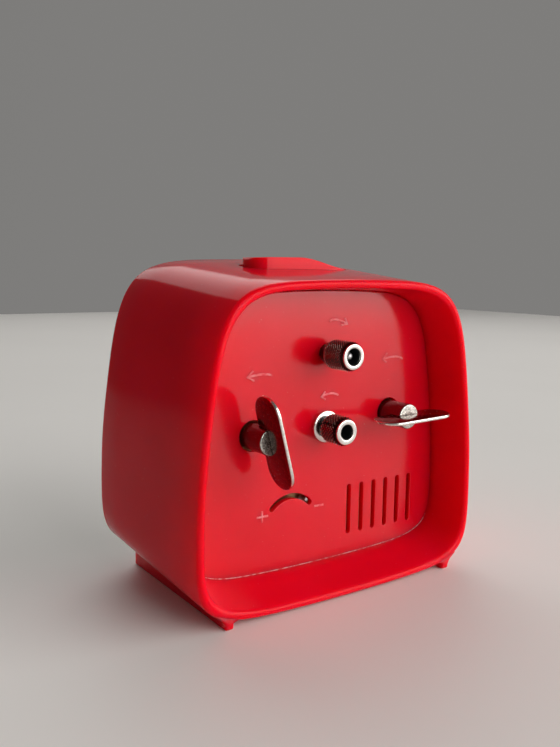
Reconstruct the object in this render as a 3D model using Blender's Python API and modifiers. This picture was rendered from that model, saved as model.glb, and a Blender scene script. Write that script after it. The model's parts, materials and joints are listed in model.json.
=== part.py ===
"""Wind-up alarm clock in a moulded case with the outline of an old television set.

Axes: X across, Y from the dial (-Y) to the winding keys (+Y), Z up. The runners rest on Z = 0.
Lengths below are in millimetres; every mesh is scaled to metres when it is made.
DEPTH values are measured from the rear rim of the case towards the dial.
"""
import math

import bmesh
import bpy
from mathutils import Matrix, Vector

MM = 0.001

# ---- driving dimensions -------------------------------------------------------------------
CASE_DEPTH = 55.4          # rear rim to the front edge of the moulded case
BEZEL_PROUD = 2.6          # bezel in front of that edge
WING_PROUD = 2.3           # key wings behind the rear rim
REAR_Y = (CASE_DEPTH + BEZEL_PROUD - WING_PROUD) / 2

REAR_HALF_WIDTH = 50.4
REAR_MID_Z = 39.26         # height where the case is widest
REAR_TOP_H = 52.83         # above that height
REAR_BOTTOM_H = 38.89      # below it
FRONT_WIDER = 0.072        # growth of the width over the case depth
FRONT_LOWER = 0.010        # loss of height over the case depth
FRONT_RISE = 6.16          # the front sits higher than the rear
TOP_POWER = 6.4            # squareness of the upper corners
BOTTOM_POWER = 7.1         # squareness of the lower corners
TOP_TAPER = 0.147          # upper half narrows by this share
TAPER_BLEND = 0.25         # how gently the taper sets in around the widest height
CORNER_CROWDING = 0.14     # how far section points are drawn towards the corners
CROWN = 1.5                # bow of the top and bottom edges
WALL = 2.3
RING_POINTS = 48           # points around a case section

PANEL_DEPTH = 14.19
PANEL_THICK = 2.0
PANEL_INSET = 4.73
FIT = 0.2                  # gap around fitted pieces

CENTRE = (-0.8, 48.3)      # hands and centre arbor, as (x, z)
TIME_KEY = (24.7, 48.1)
ALARM_KEY = (-26.2, 50.3)
ALARM_SET = (-0.8, 70.4)
BALANCE = (11.1, 19.1)

RUNNER_X = 40.26
RUNNER_WIDTH = 2.5
RUNNER_FRONT = 57.0
RUNNER_SINK = 0.8          # runner root inside the case wall
OUTER_FLARE = 3.2          # spread of the runner's root, away from the middle
INNER_FLARE = 1.8

REAR_PLATE = (18.2, 19.4)
FRONT_PLATE = (39.4, 40.6)
ARBOR_R = 0.6
PIVOT_HOLE_R = 0.95
BRIDGE_FOOT = (5.4, 11.4)  # post of the pallet bridge

KEY_HUB_R = 3.88
KEY_HUB_END = 4.83
WING_LENGTH = 27.6
WING_WIDTH = 11.4
WING_THICK = 1.05
TIME_WING_LEAN = 15.0      # degrees from upright
ALARM_WING_LEAN = 91.5

TOOTH_TIP = 0.10           # width of a tooth tip, in pitches
ADDENDUM = 0.5             # tooth above the pitch circle, in modules
DEDENDUM = 0.85

# ---- collections and materials ------------------------------------------------------------
for old in list(bpy.data.objects):
    bpy.data.objects.remove(old, do_unlink=True)

clock = bpy.data.collections.new("alarm_clock")
tools = bpy.data.collections.new("cutters")
for collection in (clock, tools):
    bpy.context.scene.collection.children.link(collection)


def finish(name, colour, roughness, metallic=0.0):
    """A plain material with one Principled shader."""
    made = bpy.data.materials.new(name)
    made.use_nodes = True
    shader = made.node_tree.nodes["Principled BSDF"]
    shader.inputs["Base Color"].default_value = (*colour, 1.0)
    shader.inputs["Roughness"].default_value = roughness
    shader.inputs["Metallic"].default_value = metallic
    return made


RED = finish("red_plastic", (0.62, 0.004, 0.012), 0.16)
NICKEL = finish("nickel", (0.72, 0.70, 0.66), 0.18, 1.0)
BRASS = finish("brass", (0.75, 0.55, 0.22), 0.3, 1.0)
STEEL = finish("steel", (0.50, 0.50, 0.52), 0.35, 1.0)
BLUED = finish("blued_steel", (0.05, 0.07, 0.16), 0.3, 1.0)
SILVER = finish("silver_trim", (0.80, 0.80, 0.78), 0.2, 1.0)
CLEAR = finish("clear_plastic", (0.95, 0.97, 0.97), 0.05)
CLEAR.node_tree.nodes["Principled BSDF"].inputs["Transmission Weight"].default_value = 1.0
DIAL = finish("dial_card", (0.86, 0.83, 0.74), 0.55)
HAND_BLACK = finish("hand_black", (0.02, 0.02, 0.02), 0.4)
HAND_RED = finish("hand_red", (0.6, 0.03, 0.02), 0.4)
BELL_METAL = finish("bell_metal", (0.60, 0.58, 0.52), 0.25, 1.0)


# ---- building helpers ---------------------------------------------------------------------
def y_at(depth):
    """Model Y of a distance in from the rear rim."""
    return REAR_Y - depth


def add(name, mesh, material, origin=(0, 0, 0)):
    """Put a millimetre mesh in the scene, scaled to metres, with its origin at a point."""
    mesh.transform(Matrix.Scale(MM, 4) @ Matrix.Translation(-Vector(origin)))
    mesh.materials.clear()
    mesh.materials.append(material)
    made = bpy.data.objects.new(name, mesh)
    made.location = Vector(origin) * MM
    clock.objects.link(made)
    return made


def evaluated(source):
    """The mesh of an object as its modifiers leave it, in world space, with ends welded."""
    bpy.context.view_layer.update()
    shown = source.evaluated_get(bpy.context.evaluated_depsgraph_get())
    mesh = bpy.data.meshes.new_from_object(shown)
    mesh.transform(source.matrix_world)
    weld(mesh)
    bpy.data.objects.remove(source, do_unlink=True)
    return mesh


def weld(mesh):
    body = bmesh.new()
    body.from_mesh(mesh)
    bmesh.ops.remove_doubles(body, verts=body.verts, dist=1e-5)
    bmesh.ops.recalc_face_normals(body, faces=body.faces)
    body.to_mesh(mesh)
    body.free()


def signed_area(loop):
    return sum(a[0] * b[1] - b[0] * a[1] for a, b in zip(loop, loop[1:] + loop[:1])) / 2


def flat(loops, depth_0, depth_1, centre=(0, 0)):
    """A plate standing in the XZ plane: the first loop is its outline, the rest are holes."""
    outline = bpy.data.curves.new("outline", "CURVE")
    outline.dimensions = "2D"
    outline.fill_mode = "BOTH"
    outline.extrude = abs(depth_1 - depth_0) / 2
    for i, loop in enumerate(loops):
        if (signed_area(loop) > 0) != (i == 0):
            loop = loop[::-1]
        spline = outline.splines.new("POLY")
        spline.points.add(len(loop) - 1)
        spline.use_cyclic_u = True
        for point, (x, z) in zip(spline.points, loop):
            point.co = (x + centre[0], z + centre[1], 0, 1)
    source = bpy.data.objects.new("outline", outline)
    tools.objects.link(source)
    middle = y_at((depth_0 + depth_1) / 2)
    source.matrix_world = Matrix.Translation((0, middle, 0)) @ Matrix.Rotation(math.pi / 2, 4, "X")
    return evaluated(source)


def turned(profile, centre=(0, 0), steps=16):
    """A round piece about a Y axis. Its (radius, depth) profile runs from the rear forwards."""
    body = bmesh.new()
    points = [body.verts.new((radius, 0, -depth)) for radius, depth in profile]
    for a, b in zip(points, points[1:]):
        body.edges.new((a, b))
    if profile[0][0] > 0 or profile[-1][0] > 0:
        body.edges.new((points[-1], points[0]))
    mesh = bpy.data.meshes.new("profile")
    body.to_mesh(mesh)
    body.free()
    source = bpy.data.objects.new("profile", mesh)
    tools.objects.link(source)
    screw = source.modifiers.new("turn", "SCREW")
    screw.steps = steps
    screw.render_steps = steps
    screw.use_merge_vertices = True
    screw.merge_threshold = 0.0001
    source.matrix_world = (
        Matrix.Translation((centre[0], REAR_Y, centre[1])) @ Matrix.Rotation(-math.pi / 2, 4, "X")
    )
    return evaluated(source)


def rod(radius, depth_0, depth_1, centre=(0, 0), steps=12):
    """A solid round bar about a Y axis, from the rear end to the front end."""
    return turned([(0, depth_0), (radius, depth_0), (radius, depth_1), (0, depth_1)], centre, steps)


def box(low, high):
    """A box between two corners, from a primitive cube."""
    body = bmesh.new()
    bmesh.ops.create_cube(body, size=1.0)
    mesh = bpy.data.meshes.new("box")
    body.to_mesh(mesh)
    body.free()
    size = [b - a for a, b in zip(low, high)]
    middle = [(a + b) / 2 for a, b in zip(low, high)]
    mesh.transform(Matrix.Translation(middle) @ Matrix.Diagonal((*size, 1)))
    return mesh


def combine(base, others, operation="UNION"):
    """Join or cut one millimetre mesh with others by exact Booleans."""
    body = bpy.data.objects.new("base", base)
    tools.objects.link(body)
    helpers = []
    for mesh in others:
        helper = bpy.data.objects.new("helper", mesh)
        helper.hide_render = True
        helper.display_type = "WIRE"
        tools.objects.link(helper)
        helpers.append(helper)
        cut = body.modifiers.new("boolean", "BOOLEAN")
        cut.object = helper
        cut.operation = operation
        cut.solver = "EXACT"
    result = evaluated(body)
    for helper in helpers:
        bpy.data.objects.remove(helper, do_unlink=True)
    return result


def smooth(obj, angle=35):
    obj.data.shade_smooth()
    obj.data.set_sharp_from_angle(angle=math.radians(angle))
    return obj


def circle(radius, points=12, centre=(0, 0), start=0.0):
    steps = [start + 2 * math.pi * i / points for i in range(points)]
    return [(centre[0] + radius * math.cos(a), centre[1] + radius * math.sin(a)) for a in steps]


def arc(radius, first, last, points, centre=(0, 0)):
    """Points along an arc, angles in degrees."""
    steps = [math.radians(first + (last - first) * i / (points - 1)) for i in range(points)]
    return [(centre[0] + radius * math.cos(a), centre[1] + radius * math.sin(a)) for a in steps]


def stadium(length, width, corner=6):
    """A slot outline along X with round ends."""
    reach = (length - width) / 2
    return (arc(width / 2, -90, 90, corner, (reach, 0))
            + arc(width / 2, 90, 270, corner, (-reach, 0)))


def rounded_rectangle(x_0, x_1, z_0, z_1, radius, corner=4):
    return (arc(radius, 0, 90, corner, (x_1 - radius, z_1 - radius))
            + arc(radius, 90, 180, corner, (x_0 + radius, z_1 - radius))
            + arc(radius, 180, 270, corner, (x_0 + radius, z_0 + radius))
            + arc(radius, 270, 360, corner, (x_1 - radius, z_0 + radius)))


def polar(start, distance, degrees):
    return (start[0] + distance * math.cos(math.radians(degrees)),
            start[1] + distance * math.sin(math.radians(degrees)))


# ---- the television outline ---------------------------------------------------------------
def section(depth, inset=0.0, shrink=1.0):
    """Points of the case outline at a depth, moved in by an inset or shrunk to a share."""
    t = depth / CASE_DEPTH
    half = (REAR_HALF_WIDTH * (1 + FRONT_WIDER * t) - inset) * shrink
    top = (REAR_TOP_H * (1 - FRONT_LOWER * t) - inset) * shrink
    bottom = (REAR_BOTTOM_H * (1 - FRONT_LOWER * t) - inset) * shrink
    middle = REAR_MID_Z + FRONT_RISE * t
    crown = CROWN * shrink
    points = []
    for i in range(RING_POINTS):
        angle = crowded(2 * math.pi * i / RING_POINTS)
        c = math.cos(angle)
        s = math.sin(angle)
        power = TOP_POWER if s >= 0 else BOTTOM_POWER
        height = top if s >= 0 else bottom
        reach = (abs(c) ** power + abs(s) ** power) ** (-1 / power)
        x = c * reach
        z = s * reach
        rise = height * z - crown * x * x * z
        up = height * z / top
        taper = TOP_TAPER * (up + math.hypot(up, TAPER_BLEND)) / 2
        points.append((half * x * (1 - taper), middle + rise))
    return points


def crowded(angle):
    """Crowd the points towards the four corners, where the outline bends."""
    return angle + CORNER_CROWDING * math.sin(4 * angle)


def loft(rings, closed=False, cap_ends=False, tips=()):
    """Join equal rings of (x, depth, z) points into a skin; tips are centre points of fans."""
    body = bmesh.new()
    rows = [[body.verts.new((x, y_at(depth), z)) for x, depth, z in ring] for ring in rings]
    pairs = list(zip(rows, rows[1:]))
    if closed:
        pairs.append((rows[-1], rows[0]))
    for a, b in pairs:
        count = len(a)
        for i in range(count):
            j = (i + 1) % count
            body.faces.new((a[i], a[j], b[j], b[i]))
    if cap_ends:
        for row, tip in zip((rows[0], rows[-1]), tips):
            peak = body.verts.new((tip[0], y_at(tip[1]), tip[2]))
            for i in range(len(row)):
                body.faces.new((row[i], row[(i + 1) % len(row)], peak))
    bmesh.ops.recalc_face_normals(body, faces=body.faces)
    mesh = bpy.data.meshes.new("loft")
    body.to_mesh(mesh)
    body.free()
    return mesh


def prism(loop, z_0, z_1):
    """An upright block from an (x, depth) loop."""
    middle = [sum(point[k] for point in loop) / len(loop) for k in (0, 1)]
    rings = [[(x, depth, z) for x, depth in loop] for z in (z_0, z_1)]
    return loft(rings, cap_ends=True, tips=[(*middle, z) for z in (z_0, z_1)])


def case_rings(profile):
    """Rings of the case outline for a profile of (depth, inset) pairs."""
    return [[(x, depth, z) for x, z in section(depth, inset)] for depth, inset in profile]


def scaled_ring(depth, shrink):
    """A smaller ring of the front outline, for the dome of the crystal."""
    return [(x, depth, z) for x, z in section(53.0, 0.0, shrink)]


def skin_bottom(x, depth):
    """Height of the case's outer skin under a given x."""
    t = depth / CASE_DEPTH
    across = x / (REAR_HALF_WIDTH * (1 + FRONT_WIDER * t))
    deep = REAR_BOTTOM_H * (1 - FRONT_LOWER * t)
    share = (1 - abs(across) ** BOTTOM_POWER) ** (1 / BOTTOM_POWER)
    return REAR_MID_Z + FRONT_RISE * t - deep * share + CROWN * across * across * share


# ---- case ---------------------------------------------------------------------------------
ROCKER_DEPTH = (27.5, 39.5)
ROCKER_X = (-20.6, 15.3)
ROCKER_TOP = 98.3
ROCKER_TAIL = 94.8
ROCKER_CORNER = 5.5        # plan radius of its ends
ROCKER_PIVOT = (-3.0, 90.9)
ROCKER_BORE = 1.35
LUG_WIDTH = 2.0


def make_case():
    profile = [
        (55.4, 1.3), (54.9, 0.4), (53.8, 0.0), (1.7, 0.0),
        (0.5, 0.35), (0.0, 1.15), (0.4, 1.95), (1.5, 2.4),
        (PANEL_DEPTH, PANEL_INSET), (17.6, PANEL_INSET - 0.35), (17.6, WALL), (55.4, WALL),
    ]
    shell = loft(case_rings(profile), closed=True)
    joined = [runner(side) for side in (-1, 1)]
    for depth_0 in (ROCKER_DEPTH[0] - 0.6 - LUG_WIDTH, ROCKER_DEPTH[1] + 0.6):
        outline = [(-7.0, 94.0), (-6.0, 87.5), (0.0, 87.5), (1.0, 94.0)]
        joined.append(flat([outline], depth_0, depth_0 + LUG_WIDTH))
    shell = combine(shell, joined)
    window = rounded_rectangle(ROCKER_X[0] - 0.7, ROCKER_X[1] + 1.3, ROCKER_DEPTH[0] - 0.4,
                               ROCKER_DEPTH[1] + 0.4, ROCKER_CORNER + 0.3)
    opening = prism(window, 88.0, 110.0)
    bores = rod(ROCKER_BORE, 20.0, 50.0, ROCKER_PIVOT, 12)
    shell = combine(shell, [opening, bores], "DIFFERENCE")
    smooth(add("case_shell", shell, RED, (0, 0, 0)))


def runner(side):
    """A rail under one side of the case, flaring out into its wall."""
    inner = RUNNER_X - RUNNER_WIDTH / 2
    outer = RUNNER_X + RUNNER_WIDTH / 2
    rings = []
    for depth in (0.9, RUNNER_FRONT):
        reach = min(depth, CASE_DEPTH - 0.6)
        root = skin_bottom(RUNNER_X, reach)
        out_x = outer + OUTER_FLARE
        in_x = inner - INNER_FLARE
        ring = [(inner, 0.0), (outer, 0.0), (outer, max(root - 2.2, 0.5)),
                (out_x, skin_bottom(out_x, reach) + RUNNER_SINK),
                (in_x, skin_bottom(in_x, reach) + RUNNER_SINK), (inner, max(root - 1.6, 0.5))]
        rings.append([(side * x, depth, z) for x, z in ring])
    tips = [(side * RUNNER_X, ring[0][1], ring[2][2]) for ring in rings]
    return loft(rings, cap_ends=True, tips=tips)


def rocker_crest():
    """(x, z) points along the top of the rocker, level at one end and falling to a flush tail."""
    crest = [(ROCKER_X[1], ROCKER_TOP - 0.9), (ROCKER_X[1] - 0.6, ROCKER_TOP - 0.3),
             (ROCKER_X[1] - 5.0, ROCKER_TOP - 0.1)]
    for i in range(11):
        share = i / 10
        fall = (1 - math.cos(math.pi * share)) / 2
        crest.append((ROCKER_X[0] * share, ROCKER_TOP - (ROCKER_TOP - ROCKER_TAIL) * fall))
    return crest


def make_rocker():
    outline = [(ROCKER_X[1], 92.0)] + rocker_crest() + [(ROCKER_X[0], 93.0), (-7.5, 91.0)]
    outline += [(-6.2, 88.6), (0.2, 88.6), (1.5, 91.0)]
    body = flat([outline, circle(ROCKER_BORE, 12, ROCKER_PIVOT)], *ROCKER_DEPTH)
    plan = rounded_rectangle(*ROCKER_X, *ROCKER_DEPTH, ROCKER_CORNER)
    body = combine(body, [prism(plan, 80.0, 110.0)], "INTERSECT")
    pivot = (ROCKER_PIVOT[0], y_at(sum(ROCKER_DEPTH) / 2), ROCKER_PIVOT[1])
    smooth(add("alarm_rocker", body, RED, pivot), 25)
    ends = (ROCKER_DEPTH[0] - 0.3 - LUG_WIDTH, ROCKER_DEPTH[1] + 0.3 + LUG_WIDTH)
    smooth(add("rocker_pin", rod(1.0, *ends, ROCKER_PIVOT), STEEL, pivot))
    link = [(-12.0, 90.9), (-14.0, 90.9), (-14.0, 81.0), (-12.0, 81.0)]
    add("shutoff_link", flat([link], 32.0, 33.0), STEEL, pivot)


# ---- back panel ---------------------------------------------------------------------------
SLOT_X = (-10.9, -15.95, -20.95, -26.0, -31.05, -36.1)
SLOT_Z = (13.1, 29.0)
SLOT_WIDTH = 1.65
REGULATOR_R = 9.4
REGULATOR_ARC = (44.0, 136.0)
RAISED = 0.35              # height of the moulded marks
KEY_HOLE_R = 4.5
SHAFT_HOLE_R = 2.6


def ring_slot(radius, width, first, last, centre):
    """A slot bent round a centre, with blunt round ends."""
    outer = arc(radius + width / 2, first, last, 10, centre)
    inner = arc(radius - width / 2, last, first, 10, centre)
    far = polar(centre, radius, last + math.degrees(width / 2 / radius))
    near = polar(centre, radius, first - math.degrees(width / 2 / radius))
    return outer + [far] + inner + [near]


def arrow(tail, bend, tip, width=0.75, barb=1.9):
    """A thin arrow with an open head: a bent shaft and two barbs, as one outline."""
    way = (Vector(tip) - Vector(bend)).normalized()
    side = Vector((-way.y, way.x))
    start = (Vector(bend) - Vector(tail)).normalized()
    start_side = Vector((-start.y, start.x))
    half = width / 2
    tail, bend, tip = Vector(tail), Vector(bend), Vector(tip)
    neck = tip - way * width
    left = tip - way * barb + side * barb * 0.75
    right = tip - way * barb - side * barb * 0.75
    points = [
        tail + start_side * half, bend + side * half, neck - way * 0.3 + side * half,
        left - way * 0.5, left + side * 0.3, tip, right - side * 0.3, right - way * 0.5,
        neck - way * 0.3 - side * half, bend - side * half, tail - start_side * half,
    ]
    return [tuple(point) for point in points]


def bar_mark(middle, across, up):
    return [(middle[0] + x * across / 2, middle[1] + z * up / 2)
            for x, z in ((-1, -1), (1, -1), (1, 1), (-1, 1))]


def make_panel():
    outline = section(PANEL_DEPTH, PANEL_INSET + FIT)
    holes = [
        circle(KEY_HOLE_R, 24, TIME_KEY), circle(KEY_HOLE_R, 24, ALARM_KEY),
        circle(SHAFT_HOLE_R, 16, CENTRE), circle(SHAFT_HOLE_R, 16, ALARM_SET),
        ring_slot(REGULATOR_R, 1.7, *REGULATOR_ARC, BALANCE),
    ]
    for x in SLOT_X:
        bar = [(z, dx) for dx, z in stadium(SLOT_Z[1] - SLOT_Z[0], SLOT_WIDTH, 5)]
        middle = (SLOT_Z[0] + SLOT_Z[1]) / 2
        holes.append([(x + dz, middle + along) for dz, along in bar])
    panel = flat([outline] + holes, PANEL_DEPTH, PANEL_DEPTH + PANEL_THICK)
    marks = [
        arrow((18.4, 64.8), (22.2, 65.3), (27.1, 64.8)),
        arrow((-5.7, 57.2), (-2.5, 58.0), (1.2, 57.2)),
        arrow((-1.3, 79.6), (-4.2, 80.1), (-8.6, 78.6)),
        arrow((-31.5, 66.9), (-28.2, 67.8), (-22.6, 67.3)),
        bar_mark((21.4, 24.0), 4.0, 0.8),
        bar_mark((21.4, 24.0), 0.8, 3.6),
        bar_mark((0.9, 24.1), 3.5, 0.8),
    ]
    raised = [flat([mark], PANEL_DEPTH - RAISED, PANEL_DEPTH + 0.5) for mark in marks]
    panel = combine(panel, raised)
    add("back_panel", panel, RED, (0, y_at(PANEL_DEPTH), CENTRE[1]))


# ---- front --------------------------------------------------------------------------------
def make_front():
    bezel = [
        (48.4, 2.65), (55.8, 2.65), (55.8, 1.2), (57.2, 1.2), (58.0, 2.4), (57.6, 4.6),
        (55.6, 9.2), (54.0, 9.4), (53.6, 4.4), (48.4, 4.4),
    ]
    smooth(add("front_bezel", loft(case_rings(bezel), closed=True), SILVER, (0, y_at(53), 50)))
    middle = REAR_MID_Z + FRONT_RISE
    inner = case_rings([(53.2, 13.2), (51.9, 10.4)])
    outer = case_rings([(51.9, 5.0), (53.3, 5.0), (53.4, 9.9), (54.6, 13.0)])
    inner_dome = [scaled_ring(54.6, 0.25), scaled_ring(54.2, 0.55)]
    outer_dome = [scaled_ring(55.6, 0.55), scaled_ring(56.0, 0.25)]
    shell = loft(inner_dome + inner + outer + outer_dome, cap_ends=True,
                 tips=((0, 54.7, middle), (0, 56.1, middle)))
    smooth(add("crystal", shell, CLEAR, (0, y_at(53), 50)), 50)
    dial = flat([section(47.3, 4.9), circle(3.8, 16, CENTRE)], 46.8, 47.8)
    add("dial_plate", dial, DIAL, (CENTRE[0], y_at(47.3), CENTRE[1]))


# ---- gears --------------------------------------------------------------------------------
def gear_outline(teeth, module, phase):
    """Gear teeth; tooth 0 is centred on the phase angle. Wheels have pointed teeth, pinions flat."""
    radius = teeth * module / 2
    pitch = 2 * math.pi / teeth
    tips = (0.0,) if teeth > 12 else (-TOOTH_TIP / 2, TOOTH_TIP / 2)
    points = []
    for i in range(teeth):
        angle = phase + i * pitch
        tip = radius + ADDENDUM * module
        root = radius - DEDENDUM * module
        points += [(tip * math.cos(angle + t * pitch), tip * math.sin(angle + t * pitch)) for t in tips]
        gap = angle + pitch / 2
        points.append((root * math.cos(gap), root * math.sin(gap)))
    return points


def meshed_phase(phase, teeth, centre, other_teeth, other_centre):
    """Phase of the other gear so that its gap faces this gear's tooth."""
    line = math.atan2(other_centre[1] - centre[1], other_centre[0] - centre[0])
    pitch = 2 * math.pi / teeth
    share = ((phase - line) % pitch) / pitch
    other_pitch = 2 * math.pi / other_teeth
    return line + math.pi - share * other_pitch + other_pitch / 2


def saw_outline(teeth, tip, root, way=1):
    """A ratchet or escape wheel outline with leaning teeth."""
    points = []
    for i in range(teeth):
        angle = 2 * math.pi * i / teeth
        points.append((root * math.cos(angle), root * math.sin(angle)))
        lean = angle + way * 0.85 * 2 * math.pi / teeth
        points.append((tip * math.cos(lean), tip * math.sin(lean)))
    return points if way > 0 else points[::-1]


def wheel(name, centre, plates, shaft, material, bore=None):
    """An arbor with its flat wheels and pinions joined on: plates are (outline, depths)."""
    body = turned(shaft, centre, 12)
    body = combine(body, [flat([outline], *depths, centre) for outline, depths in plates])
    if bore:
        body = combine(body, [rod(bore, 10.0, 70.0, centre, 12)], "DIFFERENCE")
    return smooth(add(name, body, material, (centre[0], y_at(plates[0][1][0]), centre[1])))


def spiral(inner, outer, turns, width, per_turn=10):
    """A flat coiled strip as one outline."""
    count = int(turns * per_turn)
    path = []
    for i in range(count + 1):
        angle = 2 * math.pi * turns * i / count
        path.append((angle, inner + (outer - inner) * i / count))
    far = [((r + width / 2) * math.cos(a), (r + width / 2) * math.sin(a)) for a, r in path]
    near = [((r - width / 2) * math.cos(a), (r - width / 2) * math.sin(a)) for a, r in path]
    return far + near[::-1]


def shaft_profile(steps):
    """Profile of a stepped shaft from (radius, depth_0, depth_1) pieces, rear to front."""
    profile = [(0, steps[0][1])]
    for radius, depth_0, depth_1 in steps:
        profile += [(radius, depth_0), (radius, depth_1)]
    return profile + [(0, steps[-1][2])]


# ---- going train --------------------------------------------------------------------------
THIRD = polar(CENTRE, 15.1, 255)
FOURTH = polar(THIRD, 12.75, 240)
ESCAPE = polar(FOURTH, 11.34, -25)
LEVER = (5.4, 18.6)
GREAT_TEETH = 48
CENTRE_PINION = 8
GREAT_MODULE = 2 * 25.5 / (GREAT_TEETH + CENTRE_PINION)
WHEEL_TEETH = 48
THIRD_TEETH = 45
LEAVES = 6
CENTRE_MODULE = 2 * 15.1 / (WHEEL_TEETH + LEAVES)
THIRD_MODULE = 2 * 12.75 / (THIRD_TEETH + LEAVES)
FOURTH_MODULE = 2 * 11.34 / (WHEEL_TEETH + LEAVES)


def make_going_train():
    great_phase = math.atan2(CENTRE[1] - TIME_KEY[1], CENTRE[0] - TIME_KEY[0])
    centre_phase = meshed_phase(great_phase, GREAT_TEETH, TIME_KEY, CENTRE_PINION, CENTRE)
    third_phase = meshed_phase(0.0, WHEEL_TEETH, CENTRE, LEAVES, THIRD)
    fourth_phase = meshed_phase(0.0, THIRD_TEETH, THIRD, LEAVES, FOURTH)
    escape_phase = meshed_phase(0.0, WHEEL_TEETH, FOURTH, LEAVES, ESCAPE)

    great = flat([gear_outline(GREAT_TEETH, GREAT_MODULE, great_phase), circle(2.6, 16)],
                 30.0, 31.2, TIME_KEY)
    smooth(add("time_great_wheel", great, BRASS, (TIME_KEY[0], y_at(30.6), TIME_KEY[1])))

    wheel("centre_wheel", CENTRE,
          [(gear_outline(WHEEL_TEETH, CENTRE_MODULE, 0.0), (34.6, 35.5)),
           (gear_outline(CENTRE_PINION, GREAT_MODULE, centre_phase), (29.6, 31.6))],
          shaft_profile([(2.0, 29.0, 36.5)]), BRASS, bore=1.3)
    wheel("third_wheel", THIRD,
          [(gear_outline(THIRD_TEETH, THIRD_MODULE, 0.0), (22.0, 22.8)),
           (gear_outline(LEAVES, CENTRE_MODULE, third_phase), (33.9, 36.2))],
          shaft_profile([(ARBOR_R, 18.6, 40.2)]), BRASS)
    wheel("fourth_wheel", FOURTH,
          [(gear_outline(WHEEL_TEETH, FOURTH_MODULE, 0.0), (36.8, 37.5)),
           (gear_outline(LEAVES, THIRD_MODULE, fourth_phase), (21.4, 23.4))],
          shaft_profile([(ARBOR_R, 18.6, 40.2)]), BRASS)
    wheel("escape_wheel", ESCAPE,
          [(saw_outline(15, 4.6, 3.4), (33.0, 33.8)),
           (gear_outline(LEAVES, FOURTH_MODULE, escape_phase), (36.2, 38.1))],
          shaft_profile([(ARBOR_R, 18.6, 40.2)]), BRASS)


def make_escapement():
    reach = 2.9
    anchor = [(-1.4, reach), (-0.5, reach + 0.5), (1.0, 1.2), (3.0, 0.5), (3.3, 1.0), (3.7, 0.7),
              (3.2, 0.0), (3.7, -0.7), (3.3, -1.0), (3.0, -0.5), (1.0, -1.2),
              (-0.5, -reach - 0.5), (-1.4, -reach), (-0.7, -1.0), (-0.7, 1.0)]
    wheel("pallet_lever", LEVER, [(anchor, (32.9, 33.7))],
          shaft_profile([(ARBOR_R, 29.8, 40.2)]), STEEL)
    strap = [(-1.7, 0.0), (-1.7, 10.2), (1.7, 10.2), (1.7, 0.0)]
    strap = [(BRIDGE_FOOT[0] + x, BRIDGE_FOOT[1] - 1.2 + z) for x, z in strap]
    strap = flat([strap, circle(PIVOT_HOLE_R, 8, LEVER)], 30.0, 31.0)
    bridge = combine(strap, [rod(1.0, 30.4, 39.1, BRIDGE_FOOT, 10)])
    add("pallet_bridge", bridge, BRASS, (LEVER[0], y_at(30.5), LEVER[1]))
    rim = flat([circle(8.5, 20), circle(7.1, 20)], 27.0, 28.8, BALANCE)
    bar = box((BALANCE[0] - 7.6, y_at(28.4), BALANCE[1] - 0.7),
              (BALANCE[0] + 7.6, y_at(27.6), BALANCE[1] + 0.7))
    staff = turned(shaft_profile([(0.5, 18.6, 26.4), (1.3, 26.4, 29.2), (0.5, 29.2, 34.4),
                                  (1.5, 34.4, 35.2), (0.5, 35.2, 40.2)]), BALANCE, 12)
    impulse_pin = rod(0.3, 33.4, 34.8, (BALANCE[0] - 1.1, BALANCE[1]), 8)
    balance = combine(staff, [bar, rim, impulse_pin])
    smooth(add("balance_wheel", balance, BRASS, (BALANCE[0], y_at(27.9), BALANCE[1])))
    hair = flat([spiral(1.3, 5.2, 4, 0.2)], 23.6, 24.2, BALANCE)
    add("hairspring", hair, BLUED, (BALANCE[0], y_at(23.9), BALANCE[1]))
    tip_angle = 127.0
    tip = polar(BALANCE, REGULATOR_R, tip_angle)
    ring = flat([circle(2.6, 16), circle(1.2, 12)], 17.0, 17.6, BALANCE)
    way = Vector((math.cos(math.radians(tip_angle)), math.sin(math.radians(tip_angle))))
    side = Vector((-way.y, way.x)) * 0.6
    start = Vector(BALANCE) + way * 2.0
    end = Vector(tip) + way * 0.5
    arm = [tuple(start + side), tuple(end + side), tuple(end - side), tuple(start - side)]
    prong = rod(0.5, 14.5, 17.5, tip, 8)
    lever = combine(ring, [flat([arm[::-1]], 17.05, 17.55), prong])
    smooth(add("regulator", lever, STEEL, (BALANCE[0], y_at(17.3), BALANCE[1])))


# ---- winding ------------------------------------------------------------------------------
RATCHET_TIP = 5.6
RATCHET_ROOT = 4.6


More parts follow.
